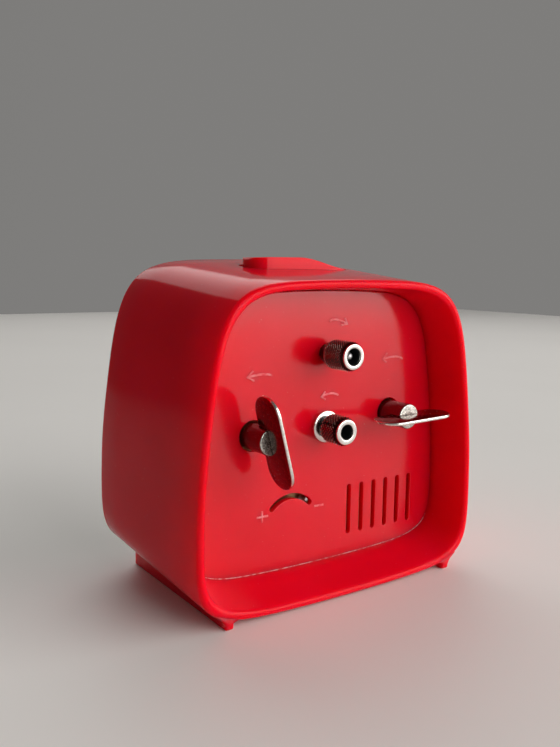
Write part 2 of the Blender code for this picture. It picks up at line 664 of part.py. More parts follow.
def make_winding(side, centre, lean, levels):
    """Key, arbor, ratchet, click and mainspring of one side; levels are its depths."""
    end = KEY_HUB_END
    hub = turned([(0, end), (KEY_HUB_R - 0.4, end), (KEY_HUB_R, end + 0.4), (KEY_HUB_R, 16.9),
                  (2.1, 16.9), (2.1, 10.6), (0, 10.6)], centre, 20)
    angle = math.radians(lean)
    about = Matrix.Translation((centre[0], 0, centre[1])) @ Matrix.Rotation(angle, 4, "Y")
    slot = box((-WING_THICK / 2 - 0.06, y_at(WING_WIDTH - WING_PROUD + 0.06), -KEY_HUB_R - 1),
               (WING_THICK / 2 + 0.06, y_at(0), KEY_HUB_R + 1))
    slot.transform(about)
    hub = combine(hub, [slot], "DIFFERENCE")
    origin = (centre[0], y_at(end), centre[1])
    smooth(add(side + "_key_hub", hub, NICKEL, origin))

    blade = flat([stadium(WING_LENGTH, WING_WIDTH, 9)], -WING_THICK / 2, WING_THICK / 2)
    blade.transform(Matrix.Translation((0, -REAR_Y, 0)))
    blade.transform(Matrix.Rotation(math.pi / 2, 4, "Y") @ Matrix.Rotation(math.pi / 2, 4, "X"))
    blade.transform(Matrix.Translation((0, y_at(WING_WIDTH / 2 - WING_PROUD), 0)))
    blade.transform(about)
    smooth(add(side + "_key_wing", blade, NICKEL, origin))

    spring_0, spring_1, wheel_0, spring_r = levels
    arbor = turned(shaft_profile([(1.7, 11.0, 18.0), (1.2, 18.0, 20.0), (2.2, 20.0, wheel_0 + 3.3),
                                  (1.2, wheel_0 + 3.3, 40.2)]), centre, 16)
    add(side + "_arbor", arbor, STEEL, origin).data.shade_smooth()
    bpy.data.objects[side + "_arbor"].data.set_sharp_from_angle(angle=0.6)
    ratchet = flat([saw_outline(14, RATCHET_TIP, RATCHET_ROOT), circle(2.5, 16)],
                   wheel_0 + 1.6, wheel_0 + 2.8, centre)
    add(side + "_ratchet", ratchet, STEEL, (centre[0], y_at(wheel_0 + 2.2), centre[1]))
    pivot = polar(centre, 9.6, 60)
    click = [(-1.3, 1.0), (-3.6, 0.2), (-5.6, -2.1), (-5.2, -2.4), (-3.0, -1.1), (0.2, -1.3),
             (1.3, -0.6), (1.3, 0.6), (0.4, 1.3)]
    plate = flat([click], wheel_0 + 1.6, wheel_0 + 2.6, pivot)
    post = rod(0.6, wheel_0 + 1.4, wheel_0 + 3.0, pivot, 10)
    add(side + "_click", combine(plate, [post]), STEEL, (pivot[0], y_at(wheel_0 + 2.1), pivot[1]))
    coil = flat([spiral(3.1, spring_r, 4, 0.5)], spring_0, spring_1, centre)
    smooth(add(side + "_mainspring", coil, BLUED, (centre[0], y_at(spring_0), centre[1])))


# ---- motion work and hands ----------------------------------------------------------------
MINUTE = (CENTRE[0], CENTRE[1] - 9.6)
CANNON_TEETH = 12
MINUTE_TEETH = 36
MINUTE_PINION = 10
HOUR_TEETH = 40
ALARM_TEETH = 48
SET_TEETH = 12
CANNON_MODULE = 2 * 9.6 / (CANNON_TEETH + MINUTE_TEETH)
HOUR_MODULE = 2 * 9.6 / (MINUTE_PINION + HOUR_TEETH)
ALARM_MODULE = 2 * 22.1 / (ALARM_TEETH + SET_TEETH)


def pipe(name, centre, teeth, module, phase, wheel_depths, pipe_depths, radii):
    """A wheel on a hollow pipe: radii are its outside and bore."""
    tube = flat([circle(radii[0], 16), circle(radii[1], 12)], *pipe_depths, centre)
    disc = flat([gear_outline(teeth, module, phase), circle(radii[1], 12)], *wheel_depths, centre)
    body = combine(tube, [disc])
    return smooth(add(name, body, BRASS, (centre[0], y_at(wheel_depths[0]), centre[1])))


def hand(name, depth, hour_angle, length, tail, width, eye, bore, material):
    """A pointed hand with a round eye; the angle is clockwise as seen from the dial."""
    outline = [(-width / 2, eye * 0.8), (-width, length * 0.45), (0, length),
               (width, length * 0.45), (width / 2, eye * 0.8)]
    outline += arc(eye, 50, -60, 6) + [(width * 0.6, -tail), (-width * 0.6, -tail)]
    outline += arc(eye, -120, -230, 6)
    mesh = flat([outline[::-1], circle(bore, 12)], depth, depth + 0.4)
    mesh.transform(Matrix.Rotation(math.radians(hour_angle), 4, "Y"))
    mesh.transform(Matrix.Translation((CENTRE[0], 0, CENTRE[1])))
    add(name, mesh, material, (CENTRE[0], y_at(depth), CENTRE[1]))


def make_motion_work():
    shaft = turned(shaft_profile([(0.9, 8.6, 51.6)]), CENTRE, 12)
    smooth(add("centre_arbor", shaft, STEEL, (CENTRE[0], y_at(30), CENTRE[1])))
    down = -math.pi / 2
    pipe("cannon_pinion", CENTRE, CANNON_TEETH, CANNON_MODULE, down, (41.6, 42.6), (41.3, 50.2),
         (1.7, 1.2))
    minute_phase = meshed_phase(down, CANNON_TEETH, CENTRE, MINUTE_TEETH, MINUTE)
    hour_phase = meshed_phase(0.0, MINUTE_PINION, MINUTE, HOUR_TEETH, CENTRE)
    wheel("minute_wheel", MINUTE,
          [(gear_outline(MINUTE_TEETH, CANNON_MODULE, minute_phase), (41.6, 42.5)),
           (gear_outline(MINUTE_PINION, HOUR_MODULE, 0.0), (42.3, 44.5))],
          shaft_profile([(0.6, 39.8, 44.8)]), BRASS)
    pipe("hour_wheel", CENTRE, HOUR_TEETH, HOUR_MODULE, hour_phase, (43.3, 44.2), (43.3, 49.4),
         (2.5, 2.0))
    set_phase = meshed_phase(0.0, ALARM_TEETH, CENTRE, SET_TEETH, ALARM_SET)
    pipe("alarm_wheel", CENTRE, ALARM_TEETH, ALARM_MODULE, 0.0, (45.1, 46.0), (45.1, 48.3),
         (3.4, 2.8))
    wheel("alarm_set_arbor", ALARM_SET,
          [(gear_outline(SET_TEETH, ALARM_MODULE, set_phase), (44.9, 46.2))],
          shaft_profile([(1.0, 6.6, 46.4)]), STEEL)
    hand("alarm_hand", 48.7, 205, 13.0, 6.4, 1.2, 4.6, 3.7, HAND_RED)
    hand("hour_hand", 49.7, 305, 18.5, 5.0, 2.2, 3.4, 2.0, HAND_BLACK)
    hand("minute_hand", 50.5, 60, 27.5, 6.0, 1.8, 2.8, 1.2, HAND_BLACK)


def make_knobs():
    def knob(name, centre, base, end):
        profile = [
            (0, end + 3.2), (2.25, end + 3.2), (2.25, end), (3.72, end), (3.72, end + 0.5),
            (4.5, end + 1.2), (4.5, base - 0.4), (4.1, base), (1.35, base),
            (1.35, end + 4.9), (0, end + 4.9),
        ]
        body = turned(profile, centre, 20)
        smooth(add(name, body, NICKEL, (centre[0], y_at(base), centre[1])))
    knob("time_set_knob", CENTRE, 12.9, 3.65)
    knob("alarm_set_knob", ALARM_SET, 12.4, 1.45)
    washer = flat([circle(5.1, 20), circle(1.4, 10)], 13.1, 13.85, CENTRE)
    smooth(add("knob_flange", washer, NICKEL, (CENTRE[0], y_at(13.5), CENTRE[1])))


# ---- frame --------------------------------------------------------------------------------
PILLARS = ((37.0, 72.0), (-37.0, 72.0), (37.0, 16.5), (-39.0, 13.5))
HAMMER = (-38.5, 34.0)
ALARM_ESCAPE = polar(ALARM_KEY, 16.8, 260)
BELL = (-27.0, 19.6)


def make_frame():
    shared = [THIRD, FOURTH, ESCAPE, LEVER, BALANCE, HAMMER, ALARM_ESCAPE]
    outline = rounded_rectangle(-42.0, 42.0, 9.8, 77.5, 7.0)
    for name, (depth_0, depth_1), extra in (
            ("rear_plate", REAR_PLATE, [BELL]), ("front_plate", FRONT_PLATE, [MINUTE])):
        holes = [circle(PIVOT_HOLE_R, 8, place) for place in shared + extra]
        holes += [circle(1.6, 12, place) for place in (TIME_KEY, ALARM_KEY, CENTRE, ALARM_SET)]
        if name == "rear_plate":
            holes += [circle(1.2, 8, place) for place in PILLARS]
        plate = flat([outline] + holes, depth_0, depth_1)
        add(name, plate, BRASS, (0, y_at(depth_0), CENTRE[1]))
    for i, place in enumerate(PILLARS, 1):
        post = turned([(0, 24.0), (1.2, 24.0), (1.2, 19.7), (2.5, 19.7), (2.5, 39.1), (0, 39.1)],
                      place, 8)
        smooth(add(f"pillar_{i}", post, BRASS, (place[0], y_at(29), place[1])))
        screw = turned([(0, 16.6), (2.0, 16.6), (2.0, 17.9), (0.85, 17.9), (0.85, 23.6), (0, 23.6)],
                       place, 8)
        smooth(add(f"plate_screw_{i}", screw, STEEL, (place[0], y_at(17), place[1])))


# ---- alarm --------------------------------------------------------------------------------
ALARM_GREAT_TEETH = 40
ALARM_PINION = 8
ALARM_GREAT_MODULE = 2 * 16.8 / (ALARM_GREAT_TEETH + ALARM_PINION)


def make_alarm():
    phase = math.radians(260)
    other = meshed_phase(phase, ALARM_GREAT_TEETH, ALARM_KEY, ALARM_PINION, ALARM_ESCAPE)
    great = flat([gear_outline(ALARM_GREAT_TEETH, ALARM_GREAT_MODULE, phase), circle(2.6, 16)],
                 28.0, 29.2, ALARM_KEY)
    smooth(add("alarm_great_wheel", great, BRASS, (ALARM_KEY[0], y_at(28.6), ALARM_KEY[1])))
    wheel("alarm_escape_wheel", ALARM_ESCAPE,
          [(saw_outline(12, 4.6, 3.3), (33.0, 33.8)),
           (gear_outline(ALARM_PINION, ALARM_GREAT_MODULE, other), (27.6, 29.8))],
          shaft_profile([(ARBOR_R, 18.6, 40.2)]), BRASS)
    verge = [(-0.9, -0.9), (3.6, -3.3), (4.0, -2.6), (1.1, 0.0), (4.0, 2.6), (3.6, 3.3), (-0.9, 0.9)]
    arm = [(-1.0, 0.6), (-1.6, -14.6), (-0.4, -14.6), (0.7, 0.6)]
    body = turned(shaft_profile([(ARBOR_R, 18.6, 40.2)]), HAMMER, 12)
    head = rod(1.9, 23.0, 28.0, (HAMMER[0] - 1.6, HAMMER[1] - 15.0), 12)
    body = combine(body, [flat([verge], 33.0, 33.8, HAMMER), flat([arm], 25.0, 26.0, HAMMER), head])
    smooth(add("alarm_hammer", body, STEEL, (HAMMER[0], y_at(25.5), HAMMER[1])))
    bell = turned([(1.9, 21.4), (7.4, 21.4), (9.3, 22.8), (9.6, 29.6), (8.7, 29.6),
                   (8.4, 23.4), (7.0, 22.3), (1.9, 22.3)], BELL, 20)
    smooth(add("bell", bell, BELL_METAL, (BELL[0], y_at(25), BELL[1])))
    post = turned(shaft_profile([(0.8, 18.3, 19.5), (3.2, 19.75, 21.1), (1.6, 21.1, 23.0)]),
                  BELL, 12)
    smooth(add("bell_post", post, STEEL, (BELL[0], y_at(21), BELL[1])))


make_case()
make_rocker()
make_panel()
make_front()
make_frame()
make_going_train()
make_escapement()
make_winding("time", TIME_KEY, TIME_WING_LEAN, (21.0, 28.6, 30.0, 17.5))
make_winding("alarm", ALARM_KEY, ALARM_WING_LEAN, (21.0, 26.6, 28.0, 12.0))
make_alarm()
make_motion_work()
make_knobs()
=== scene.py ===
"""Looks of the wind-up alarm clock: finished surfaces, studio light and the camera."""
import json
import math

import bmesh
import bpy
from mathutils import Matrix, Vector


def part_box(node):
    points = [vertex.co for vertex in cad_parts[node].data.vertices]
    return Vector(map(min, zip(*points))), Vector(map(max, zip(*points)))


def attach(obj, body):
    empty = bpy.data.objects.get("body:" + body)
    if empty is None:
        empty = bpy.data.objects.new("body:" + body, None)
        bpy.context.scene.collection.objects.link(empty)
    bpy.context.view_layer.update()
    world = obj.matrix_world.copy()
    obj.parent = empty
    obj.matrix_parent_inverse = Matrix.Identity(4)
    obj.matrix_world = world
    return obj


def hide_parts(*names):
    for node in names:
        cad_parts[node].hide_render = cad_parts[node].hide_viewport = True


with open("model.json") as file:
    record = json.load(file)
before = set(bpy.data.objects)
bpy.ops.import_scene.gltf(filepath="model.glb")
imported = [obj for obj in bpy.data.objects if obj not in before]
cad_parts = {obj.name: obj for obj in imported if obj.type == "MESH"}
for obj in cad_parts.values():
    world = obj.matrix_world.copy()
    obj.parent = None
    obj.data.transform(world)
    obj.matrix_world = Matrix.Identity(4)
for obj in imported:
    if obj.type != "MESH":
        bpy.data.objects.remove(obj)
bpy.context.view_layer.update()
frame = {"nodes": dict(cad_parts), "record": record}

MM = 0.001
ROOT = "case"

# ---- driving dimensions of the case, as in the CAD model (metres) ---------------------------
REAR_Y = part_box("case_shell")[1][1]
CASE_DEPTH = 55.4 * MM
REAR_HALF_WIDTH = 50.4 * MM
REAR_MID_Z = 39.26 * MM
REAR_TOP_H = 52.83 * MM
REAR_BOTTOM_H = 38.89 * MM
FRONT_WIDER = 0.072
FRONT_LOWER = 0.010
FRONT_RISE = 6.16 * MM
TOP_POWER = 6.4
BOTTOM_POWER = 7.1
TOP_TAPER = 0.147
TAPER_BLEND = 0.25
CROWN = 1.5 * MM
WALL = 2.3 * MM
PANEL_DEPTH = 14.19 * MM
PANEL_THICK = 2.0 * MM
PANEL_INSET = 4.73 * MM
RUNNER_X = 40.26 * MM
RUNNER_FRONT = 57.0 * MM
CORNER_CROWDING = 0.14
RING_POINTS = 168
SKIN_TRIM = 0.06 * MM          # keeps the finer outline inside the CAD one
FRONT_ROUND = 1.1 * MM
RIM_DEPTH, RIM_INSET = 1.35 * MM, 1.2 * MM
RECESS_STEPS = 5
PANEL_BACK = 17.6 * MM
PANEL_BACK_STEP = 0.35 * MM
PANEL_GAP = 0.12 * MM
PANEL_EDGE = 0.18 * MM
KEY_HOLE_R = 4.5 * MM
SHAFT_HOLE_R = 2.6 * MM

# ---- runners, as in the CAD model ------------------------------------------------------------
RUNNER_HALF = 1.25 * MM
RUNNER_CORNER = 0.4 * MM
RUNNER_SINK = 0.5 * MM
OUTER_FLARE = 3.2 * MM
INNER_FLARE = 1.8 * MM
RUNNER_REAR = 1.4 * MM
RUNNER_STEPS = 12
RUNNER_END = ((0.2, 0.75, 0.55), (0.4, 0.88, 0.25), (0.8, 0.97, 0.07))   # depth, share, lift (mm)

# ---- rocker, as in the CAD model -------------------------------------------------------------
ROCKER_CORNER = 5.5 * MM
ROCKER_BORE = 1.35 * MM
ROCKER_TAIL = 94.8 * MM
ROCKER_CLEAR = 0.4 * MM
ROCKER_LEG = ((-7.5, 91.0), (-6.2, 88.6), (0.2, 88.6), (1.5, 91.0))       # x, z (mm)
LUG_OUTLINE = ((-7.0, 94.0), (-6.0, 87.5), (0.0, 87.5), (1.0, 94.0))      # x, z (mm)
LUG_THICK = 2.0 * MM

# ---- openings and marks of the panel, x and z in mm where not scaled -------------------------
SLOT_X = [x * MM for x in (-10.9, -15.95, -20.95, -26.0, -31.05, -36.1)]
SLOT_Z = (13.1 * MM, 29.0 * MM)
SLOT_WIDTH = 1.65 * MM
REGULATOR_R = 9.4 * MM
REGULATOR_HALF = 0.85 * MM
REGULATOR_ARC = (44, 136)
ARROWS = (                                                                # tail, bend, tip, barbs
    ((18.55, 64.9), (21.9, 65.45), (26.9, 64.9), (24.95, 66.6), (24.6, 63.75)),
    ((-5.6, 57.4), (-2.5, 58.1), (0.9, 57.3), (-0.6, 58.85), (-0.7, 56.4)),
    ((-1.6, 79.7), (-4.1, 80.2), (-8.4, 78.7), (-7.5, 80.5), (-6.0, 78.45)),
    ((-31.4, 67.0), (-28.3, 67.85), (-23.0, 67.3), (-24.9, 69.15), (-24.6, 66.3)),
)
PLUS_AND_MINUS = (((19.4, 24.0), (23.2, 24.0)), ((21.4, 22.3), (21.4, 25.7)), ((-0.8, 24.1), (2.6, 24.15)))
MARK_R = 0.30 * MM
MARK_RISE = 0.05 * MM
MARK_FLATTEN = 0.8
FLASH_R = 0.13 * MM
FLASH_BACK = 0.03 * MM
FLASH_BELOW_Z = 14 * MM

# ---- keys and knobs --------------------------------------------------------------------------
WING_LENGTH = 27.6 * MM
WING_THICK = 1.05 * MM
WING_GAP = 0.06 * MM
WING_STEPS = ((-0.5, 0.28), (-0.38, 0.08), (-0.2, 0.0), (0.2, 0.0), (0.38, 0.08), (0.5, 0.28))
HUB_ROUND = 0.45 * MM
KNOB_RING_R = 3.72 * MM
KNOB_NECK_R = 3.5 * MM
KNURL_DEPTH = 0.5 * MM
KNURL_ROWS = 88
GRIP_START = 0.45 * MM
NECK_LENGTH = 1.7 * MM
FLANGE_R, FLANGE_BORE = 4.85 * MM, 1.4 * MM

# ---- front -----------------------------------------------------------------------------------
BEZEL_CREST = (                                                           # depth, inset (mm)
    (55.8, 2.65), (55.8, 1.35), (55.95, 1.2), (57.0, 1.2), (57.5, 1.35), (57.85, 1.8), (58.0, 2.4),
    (57.9, 3.1), (57.6, 4.2), (57.0, 5.8), (56.3, 7.5), (55.8, 8.7), (55.4, 9.2), (54.6, 9.4),
    (54.0, 9.4), (53.6, 9.0), (53.6, 4.4), (48.4, 4.4), (48.4, 2.65))
CRYSTAL_RIM = ((51.9, 5.0), (53.3, 5.0), (53.4, 9.9), (54.2, 11.0), (54.6, 13.0))   # depth, inset (mm)
CRYSTAL_INNER_RIM = ((53.2, 13.2), (51.9, 10.4))
CRYSTAL_DOME = ((55.15, 0.65), (55.6, 0.55), (55.9, 0.35), (56.0, 0.18))  # depth (mm), share
CRYSTAL_INNER_DOME = ((54.6, 0.18), (54.5, 0.35), (54.2, 0.55), (53.8, 0.65))
CRYSTAL_PEAKS = (54.65 * MM, 56.05 * MM)
DOME_OUTLINE = 53.0 * MM
DIAL_FACE = 47.83 * MM
PRINT_SINK, PRINT_RISE = 0.01 * MM, 0.03 * MM
TICK_OUTER = 31.0 * MM
HOUR_TICK = (28.2 * MM, 0.45 * MM)                                        # inner radius, half width
MINUTE_TICK = (29.4 * MM, 0.16 * MM)
TRACKS = ((31.5 * MM, 31.2 * MM, 120), (13.6 * MM, 13.4 * MM, 90))        # outer, inner, points
HOUR_NUMERALS = (23.4 * MM, 7.0 * MM)                                     # radius, size
ALARM_NUMERALS = (11.3 * MM, 2.4 * MM)
LUME_DOTS = (26.9 * MM, 0.75 * MM, 0.08 * MM)                             # radius, dot, rise
HAND_LUME = (                                    # node, body, clock angle, start, end, half width (mm)
    ("hour_hand", "hour", 305, 6.5, 14.5, 1.5), ("minute_hand", "hand_setting", 60, 8.5, 22.0, 1.1))

# ---- camera and light ------------------------------------------------------------------------
CAMERA = (142.34 * MM, 196.02 * MM, 95.42 * MM)
YAW, PITCH, ROLL = 34.75, 7.73, 0.87
LENS = 37.92
SENSOR = 36
FLOOR_HALF = 1.3
LIT_POINT = (0, 0, 0.05)
BRIGHT_SIDE = (-0.87, -0.5, 0.0)


def joint_point(name):
    """Axis point of a joint in the XZ plane."""
    for joint in frame["record"]["behaviour"]["joints"]:
        if joint["name"] == name:
            return (joint["pos_m"][0], joint["pos_m"][2])
    raise KeyError(name)


CENTRE = joint_point("hand_set_spin")
TIME_KEY = joint_point("time_barrel_spin")
ALARM_KEY = joint_point("alarm_barrel_spin")
ALARM_SET = joint_point("alarm_set_spin")
BALANCE = joint_point("balance_swing")
ROCKER_PIVOT = joint_point("rocker_tilt")


def y_at(depth):
    return REAR_Y - depth


# ---- node helpers for materials -------------------------------------------------------------
class Finish:
    """A Principled material with short calls for the textures that feed it."""

    def __init__(self, name, colour, roughness, metallic=0.0, **fixed):
        self.material = bpy.data.materials.new(name)
        self.material.use_nodes = True
        self.tree = self.material.node_tree
        self.shader = self.tree.nodes["Principled BSDF"]
        self.shader.inputs["Base Color"].default_value = (*colour, 1)
        self.shader.inputs["Roughness"].default_value = roughness
        self.shader.inputs["Metallic"].default_value = metallic
        for socket, value in fixed.items():
            self.shader.inputs[socket.replace("_", " ")].default_value = value
        self.position = self.tree.nodes.new("ShaderNodeTexCoord").outputs["Object"]

    def node(self, kind, **settings):
        made = self.tree.nodes.new(kind)
        for key, value in settings.items():
            setattr(made, key, value)
        return made

    def link(self, source, target):
        self.tree.links.new(source, target)

    def stretched(self, scale):
        """The surface position scaled differently along each axis."""
        mapping = self.node("ShaderNodeMapping")
        mapping.inputs["Scale"].default_value = scale
        self.link(self.position, mapping.inputs["Vector"])
        return mapping.outputs["Vector"]

    def noise(self, scale, detail=3.0, rough=0.5, vector=None):
        made = self.node("ShaderNodeTexNoise")
        made.inputs["Scale"].default_value = scale
        made.inputs["Detail"].default_value = detail
        made.inputs["Roughness"].default_value = rough
        self.link(vector or self.position, made.inputs["Vector"])
        return made.outputs["Fac"]

    def ramp(self, source, stops):
        """A colour ramp from (position, colour or grey) stops."""
        made = self.node("ShaderNodeValToRGB")
        elements = made.color_ramp.elements
        while len(elements) < len(stops):
            elements.new(0.5)
        for element, (at, value) in zip(elements, stops):
            element.position = at
            element.color = (*value, 1) if isinstance(value, tuple) else (value, value, value, 1)
        self.link(source, made.inputs["Fac"])
        return made.outputs["Color"]

    def mix(self, factor, first, second):
        """Colours mixed by a factor; each side is a socket or a colour."""
        made = self.node("ShaderNodeMix", data_type="RGBA")
        self.link(factor, made.inputs[0])
        for socket, value in ((made.inputs[6], first), (made.inputs[7], second)):
            if isinstance(value, tuple):
                socket.default_value = (*value, 1)
            else:
                self.link(value, socket)
        return made.outputs[2]

    def combine(self, operation, first, second):
        made = self.node("ShaderNodeMath", operation=operation)
        for socket, value in zip(made.inputs, (first, second)):
            if isinstance(value, (int, float)):
                socket.default_value = value
            else:
                self.link(value, socket)
        return made.outputs[0]

    def pointiness(self, low, high):
        geometry = self.node("ShaderNodeNewGeometry")
        return self.ramp(geometry.outputs["Pointiness"], [(low, 0.0), (high, 1.0)])

    def bump(self, height, distance, strength=1.0, under=None):
        made = self.node("ShaderNodeBump")
        made.inputs["Strength"].default_value = strength
        made.inputs["Distance"].default_value = distance
        self.link(height, made.inputs["Height"])
        if under:
            self.link(under, made.inputs["Normal"])
        return made.outputs["Normal"]

    def colour(self, socket):
        self.link(socket, self.shader.inputs["Base Color"])

    def roughness(self, socket):
        self.link(socket, self.shader.inputs["Roughness"])

    def normal(self, socket):
        self.link(socket, self.shader.inputs["Normal"])


def red_plastic(name, polish, shine, edge_wear=True):
    """Slightly translucent red moulding with waviness, dust, fine scuffs and worn edges."""
    made = Finish(name, (0.75, 0.002, 0.014), polish, IOR=1.45, Specular_IOR_Level=shine,
                  Subsurface_Weight=1.0, Subsurface_Radius=(1.0, 0.05, 0.05), Subsurface_Scale=0.0048)
    cloud = made.ramp(made.noise(22, 4), [(0.3, (0.70, 0.001, 0.012)), (0.7, (0.80, 0.002, 0.018))])
    worn = cloud
    if edge_wear:
        wear = made.combine("MULTIPLY", made.pointiness(0.53, 0.60), made.noise(260, 6, 0.7))
        worn = made.mix(wear, cloud, (0.80, 0.12, 0.14))
    dust = made.ramp(made.noise(1500, 2, 0.4), [(0.76, 0.0), (0.79, 0.35)])
    made.colour(made.mix(dust, worn, (0.75, 0.30, 0.28)))
    smear = made.ramp(made.noise(48, 5, 0.55), [(0.3, polish * 0.85), (0.75, polish * 1.25)])
    scuff = made.ramp(made.noise(1.0, 3, 0.5, made.stretched((2400, 2400, 400))), [(0.72, 0.0), (0.78, 0.12)])
    made.roughness(made.combine("ADD", smear, scuff))
    waves = made.bump(made.noise(26, 1), 0.0005, 0.12)
    peel = made.bump(made.noise(900, 2), 0.00002, 0.15, waves)
    made.normal(made.bump(scuff, 0.00001, 0.2, peel))
    return made.material


def mark_plastic():
    """The panel's raised marks: the same red, painted paler as a painted highlight along the ridges, and
    duller.
    """
    made = Finish("red_marks_painted_highlight", (0.85, 0.10, 0.12), 0.3, Subsurface_Weight=0.3,
                  Subsurface_Radius=(1.0, 0.06, 0.06), Subsurface_Scale=0.001)
    # painted highlight: the pale patches stand in for light catching the ridges
    made.colour(made.ramp(made.noise(600, 4), [(0.35, (0.85, 0.06, 0.08)), (0.65, (0.92, 0.24, 0.26))]))
    made.roughness(made.ramp(made.noise(1200, 3), [(0.3, 0.22), (0.7, 0.4)]))
    made.normal(made.bump(made.noise(2500, 3), 0.00002, 0.3))
    return made.material


def flash_plastic():
    """Rough flash along a moulding seam, coloured pale in patches: a painted highlight of the light the seam
    catches.
    """
    made = Finish("seam_flash", (0.8, 0.3, 0.32), 0.5)
    # painted highlight: the pale tone paints the bright line of light along the seam
    made.colour(made.ramp(made.noise(700, 3), [(0.38, (0.68, 0.02, 0.04)), (0.58, (0.92, 0.50, 0.50))]))
    made.roughness(made.ramp(made.noise(1200, 3), [(0.3, 0.35), (0.7, 0.6)]))
    made.normal(made.bump(made.noise(2500, 3), 0.00004, 0.5))
    return made.material


def knurled(name, centre, radius, depth):
    """Dark knurling, partly grime in its grooves and partly painted dark reflection, whose points, the widest
    places, are painted bright: partly rubbed wear, partly a painted sparkle highlight.
    """
    made = Finish(name, (0.03, 0.02, 0.017), 0.2, 1.0)
    flat = made.node("ShaderNodeVectorMath", operation="MULTIPLY")
    flat.inputs[1].default_value = (1.0, 0.0, 1.0)
    made.link(made.position, flat.inputs[0])
    away = made.node("ShaderNodeVectorMath", operation="DISTANCE")
    away.inputs[1].default_value = (centre[0], 0.0, centre[1])
    made.link(flat.outputs["Vector"], away.inputs[0])
    height = made.combine("DIVIDE", made.combine("SUBTRACT", away.outputs["Value"], radius - depth), depth)
    # painted highlight: the peaks are painted bright as sparkle, partly rubbed wear
    peak = made.ramp(height, [(0.40, 0.0), (0.72, 1.0)])
    # painted shade: the near-black tone stands in for dark reflections, partly grime in the grooves
    valley_grime_and_painted_shade = made.ramp(made.noise(900, 4), [(0.3, (0.012, 0.006, 0.005)), (0.7, (0.05, 0.025, 0.02))])
    made.colour(made.mix(peak, valley_grime_and_painted_shade, (0.72, 0.62, 0.57)))
    made.roughness(made.ramp(made.noise(1600, 3), [(0.3, 0.12), (0.7, 0.26)]))
    made.normal(made.bump(made.noise(3200, 3), 0.00002, 0.4))
    return made.material


def nickel(name="nickel", tint=(0.78, 0.75, 0.71)):
    """Nickel plate with tool marks, fine scratches and cloudy patches."""
    made = Finish(name, tint, 0.16, 1.0)
    cloud = made.noise(420, 5, 0.6)
    made.colour(made.ramp(cloud, [(0.3, tuple(c * 0.82 for c in tint)), (0.7, tint)]))
    fine = made.noise(1.0, 3, 0.6, made.stretched((900, 9000, 900)))
    made.roughness(made.ramp(fine, [(0.25, 0.10), (0.8, 0.34)]))
    made.normal(made.bump(fine, 0.00002, 0.35))
    return made.material


def handled_nickel(name, axis, square_face_painted_tone, other_face_painted_tone):
    """Plate with painted light: one painted tone on the faces square to an axis and another everywhere else,
    as lit and shaded copies of one nickel.
    """
    made = Finish(name, square_face_painted_tone, 0.2, 1.0)
    turn = made.node("ShaderNodeVectorMath", operation="DOT_PRODUCT")
    turn.inputs[1].default_value = axis
    made.link(made.position.node.outputs["Normal"], turn.inputs[0])
    # painted light: this mask picks the painted lit or shaded tone by which way a face points
    square = made.ramp(made.combine("ABSOLUTE", turn.outputs["Value"], 0.0), [(0.80, 0.0), (0.97, 1.0)])
    speck = made.noise(1300, 3, 0.6)
    flat = made.ramp(speck, [(0.42, tuple(c * 0.6 for c in square_face_painted_tone)), (0.66, tuple(c * 1.3 for c in square_face_painted_tone))])
    side = made.ramp(speck, [(0.35, tuple(c * 0.75 for c in other_face_painted_tone)), (0.60, other_face_painted_tone)])
    made.colour(made.mix(square, side, flat))
    fine = made.noise(1.0, 3, 0.6, made.stretched((900, 900, 6000)))
    made.roughness(made.ramp(fine, [(0.25, 0.12), (0.8, 0.32)]))
    made.normal(made.bump(fine, 0.00002, 0.35))
    return made.material


def satin_metal(name, light, dark, rough=(0.22, 0.45), grain=(400, 4000, 4000)):
    """Stamped or turned metal with a directional grain and uneven tarnish."""
    made = Finish(name, light, rough[0], 1.0)
    tarnish = made.noise(160, 6, 0.65)
    made.colour(made.ramp(tarnish, [(0.32, dark), (0.68, light)]))
    lines = made.noise(1.0, 3, 0.6, made.stretched(grain))
    made.roughness(made.ramp(lines, [(0.25, rough[0]), (0.8, rough[1])]))
    made.normal(made.bump(lines, 0.00002, 0.3))
    return made.material


def painted(name, colour, rough=0.35):
    """Enamel with a slight orange peel and rubbed edges."""
    made = Finish(name, colour, rough)
    edge = made.pointiness(0.54, 0.62)
    cloud = made.ramp(made.noise(300, 4), [(0.3, tuple(c * 0.8 for c in colour)), (0.7, colour)])
    made.colour(made.mix(edge, cloud, tuple(min(1, c * 2 + 0.05) for c in colour)))
    made.roughness(made.ramp(made.noise(800, 4), [(0.3, rough * 0.8), (0.7, rough * 1.25)]))
    made.normal(made.bump(made.noise(1800, 2), 0.00001, 0.3))
    return made.material


def dial_card():
    """Matt off-white card, slightly yellowed towards its edge, with paper fibre."""
    made = Finish("dial_card", (0.80, 0.76, 0.65), 0.6)
    spread = made.node("ShaderNodeVectorMath", operation="DISTANCE")
    spread.inputs[1].default_value = (CENTRE[0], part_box("dial_plate")[0][1], CENTRE[1])
    made.link(made.position, spread.inputs[0])
    aged = made.ramp(spread.outputs["Value"], [(0.02, (0.84, 0.81, 0.72)), (0.055, (0.76, 0.70, 0.56))])
    fibre = made.ramp(made.noise(2400, 3, 0.7), [(0.3, 0.93), (0.7, 1.0)])
    blend = made.node("ShaderNodeMix", data_type="RGBA", blend_type="MULTIPLY")
    blend.inputs[0].default_value = 1.0
    made.link(aged, blend.inputs[6])
    made.link(fibre, blend.inputs[7])
    made.colour(blend.outputs[2])
    made.roughness(made.ramp(made.noise(500, 4), [(0.3, 0.5), (0.7, 0.7)]))
    made.normal(made.bump(made.noise(3000, 3), 0.00002, 0.3))
    return made.material


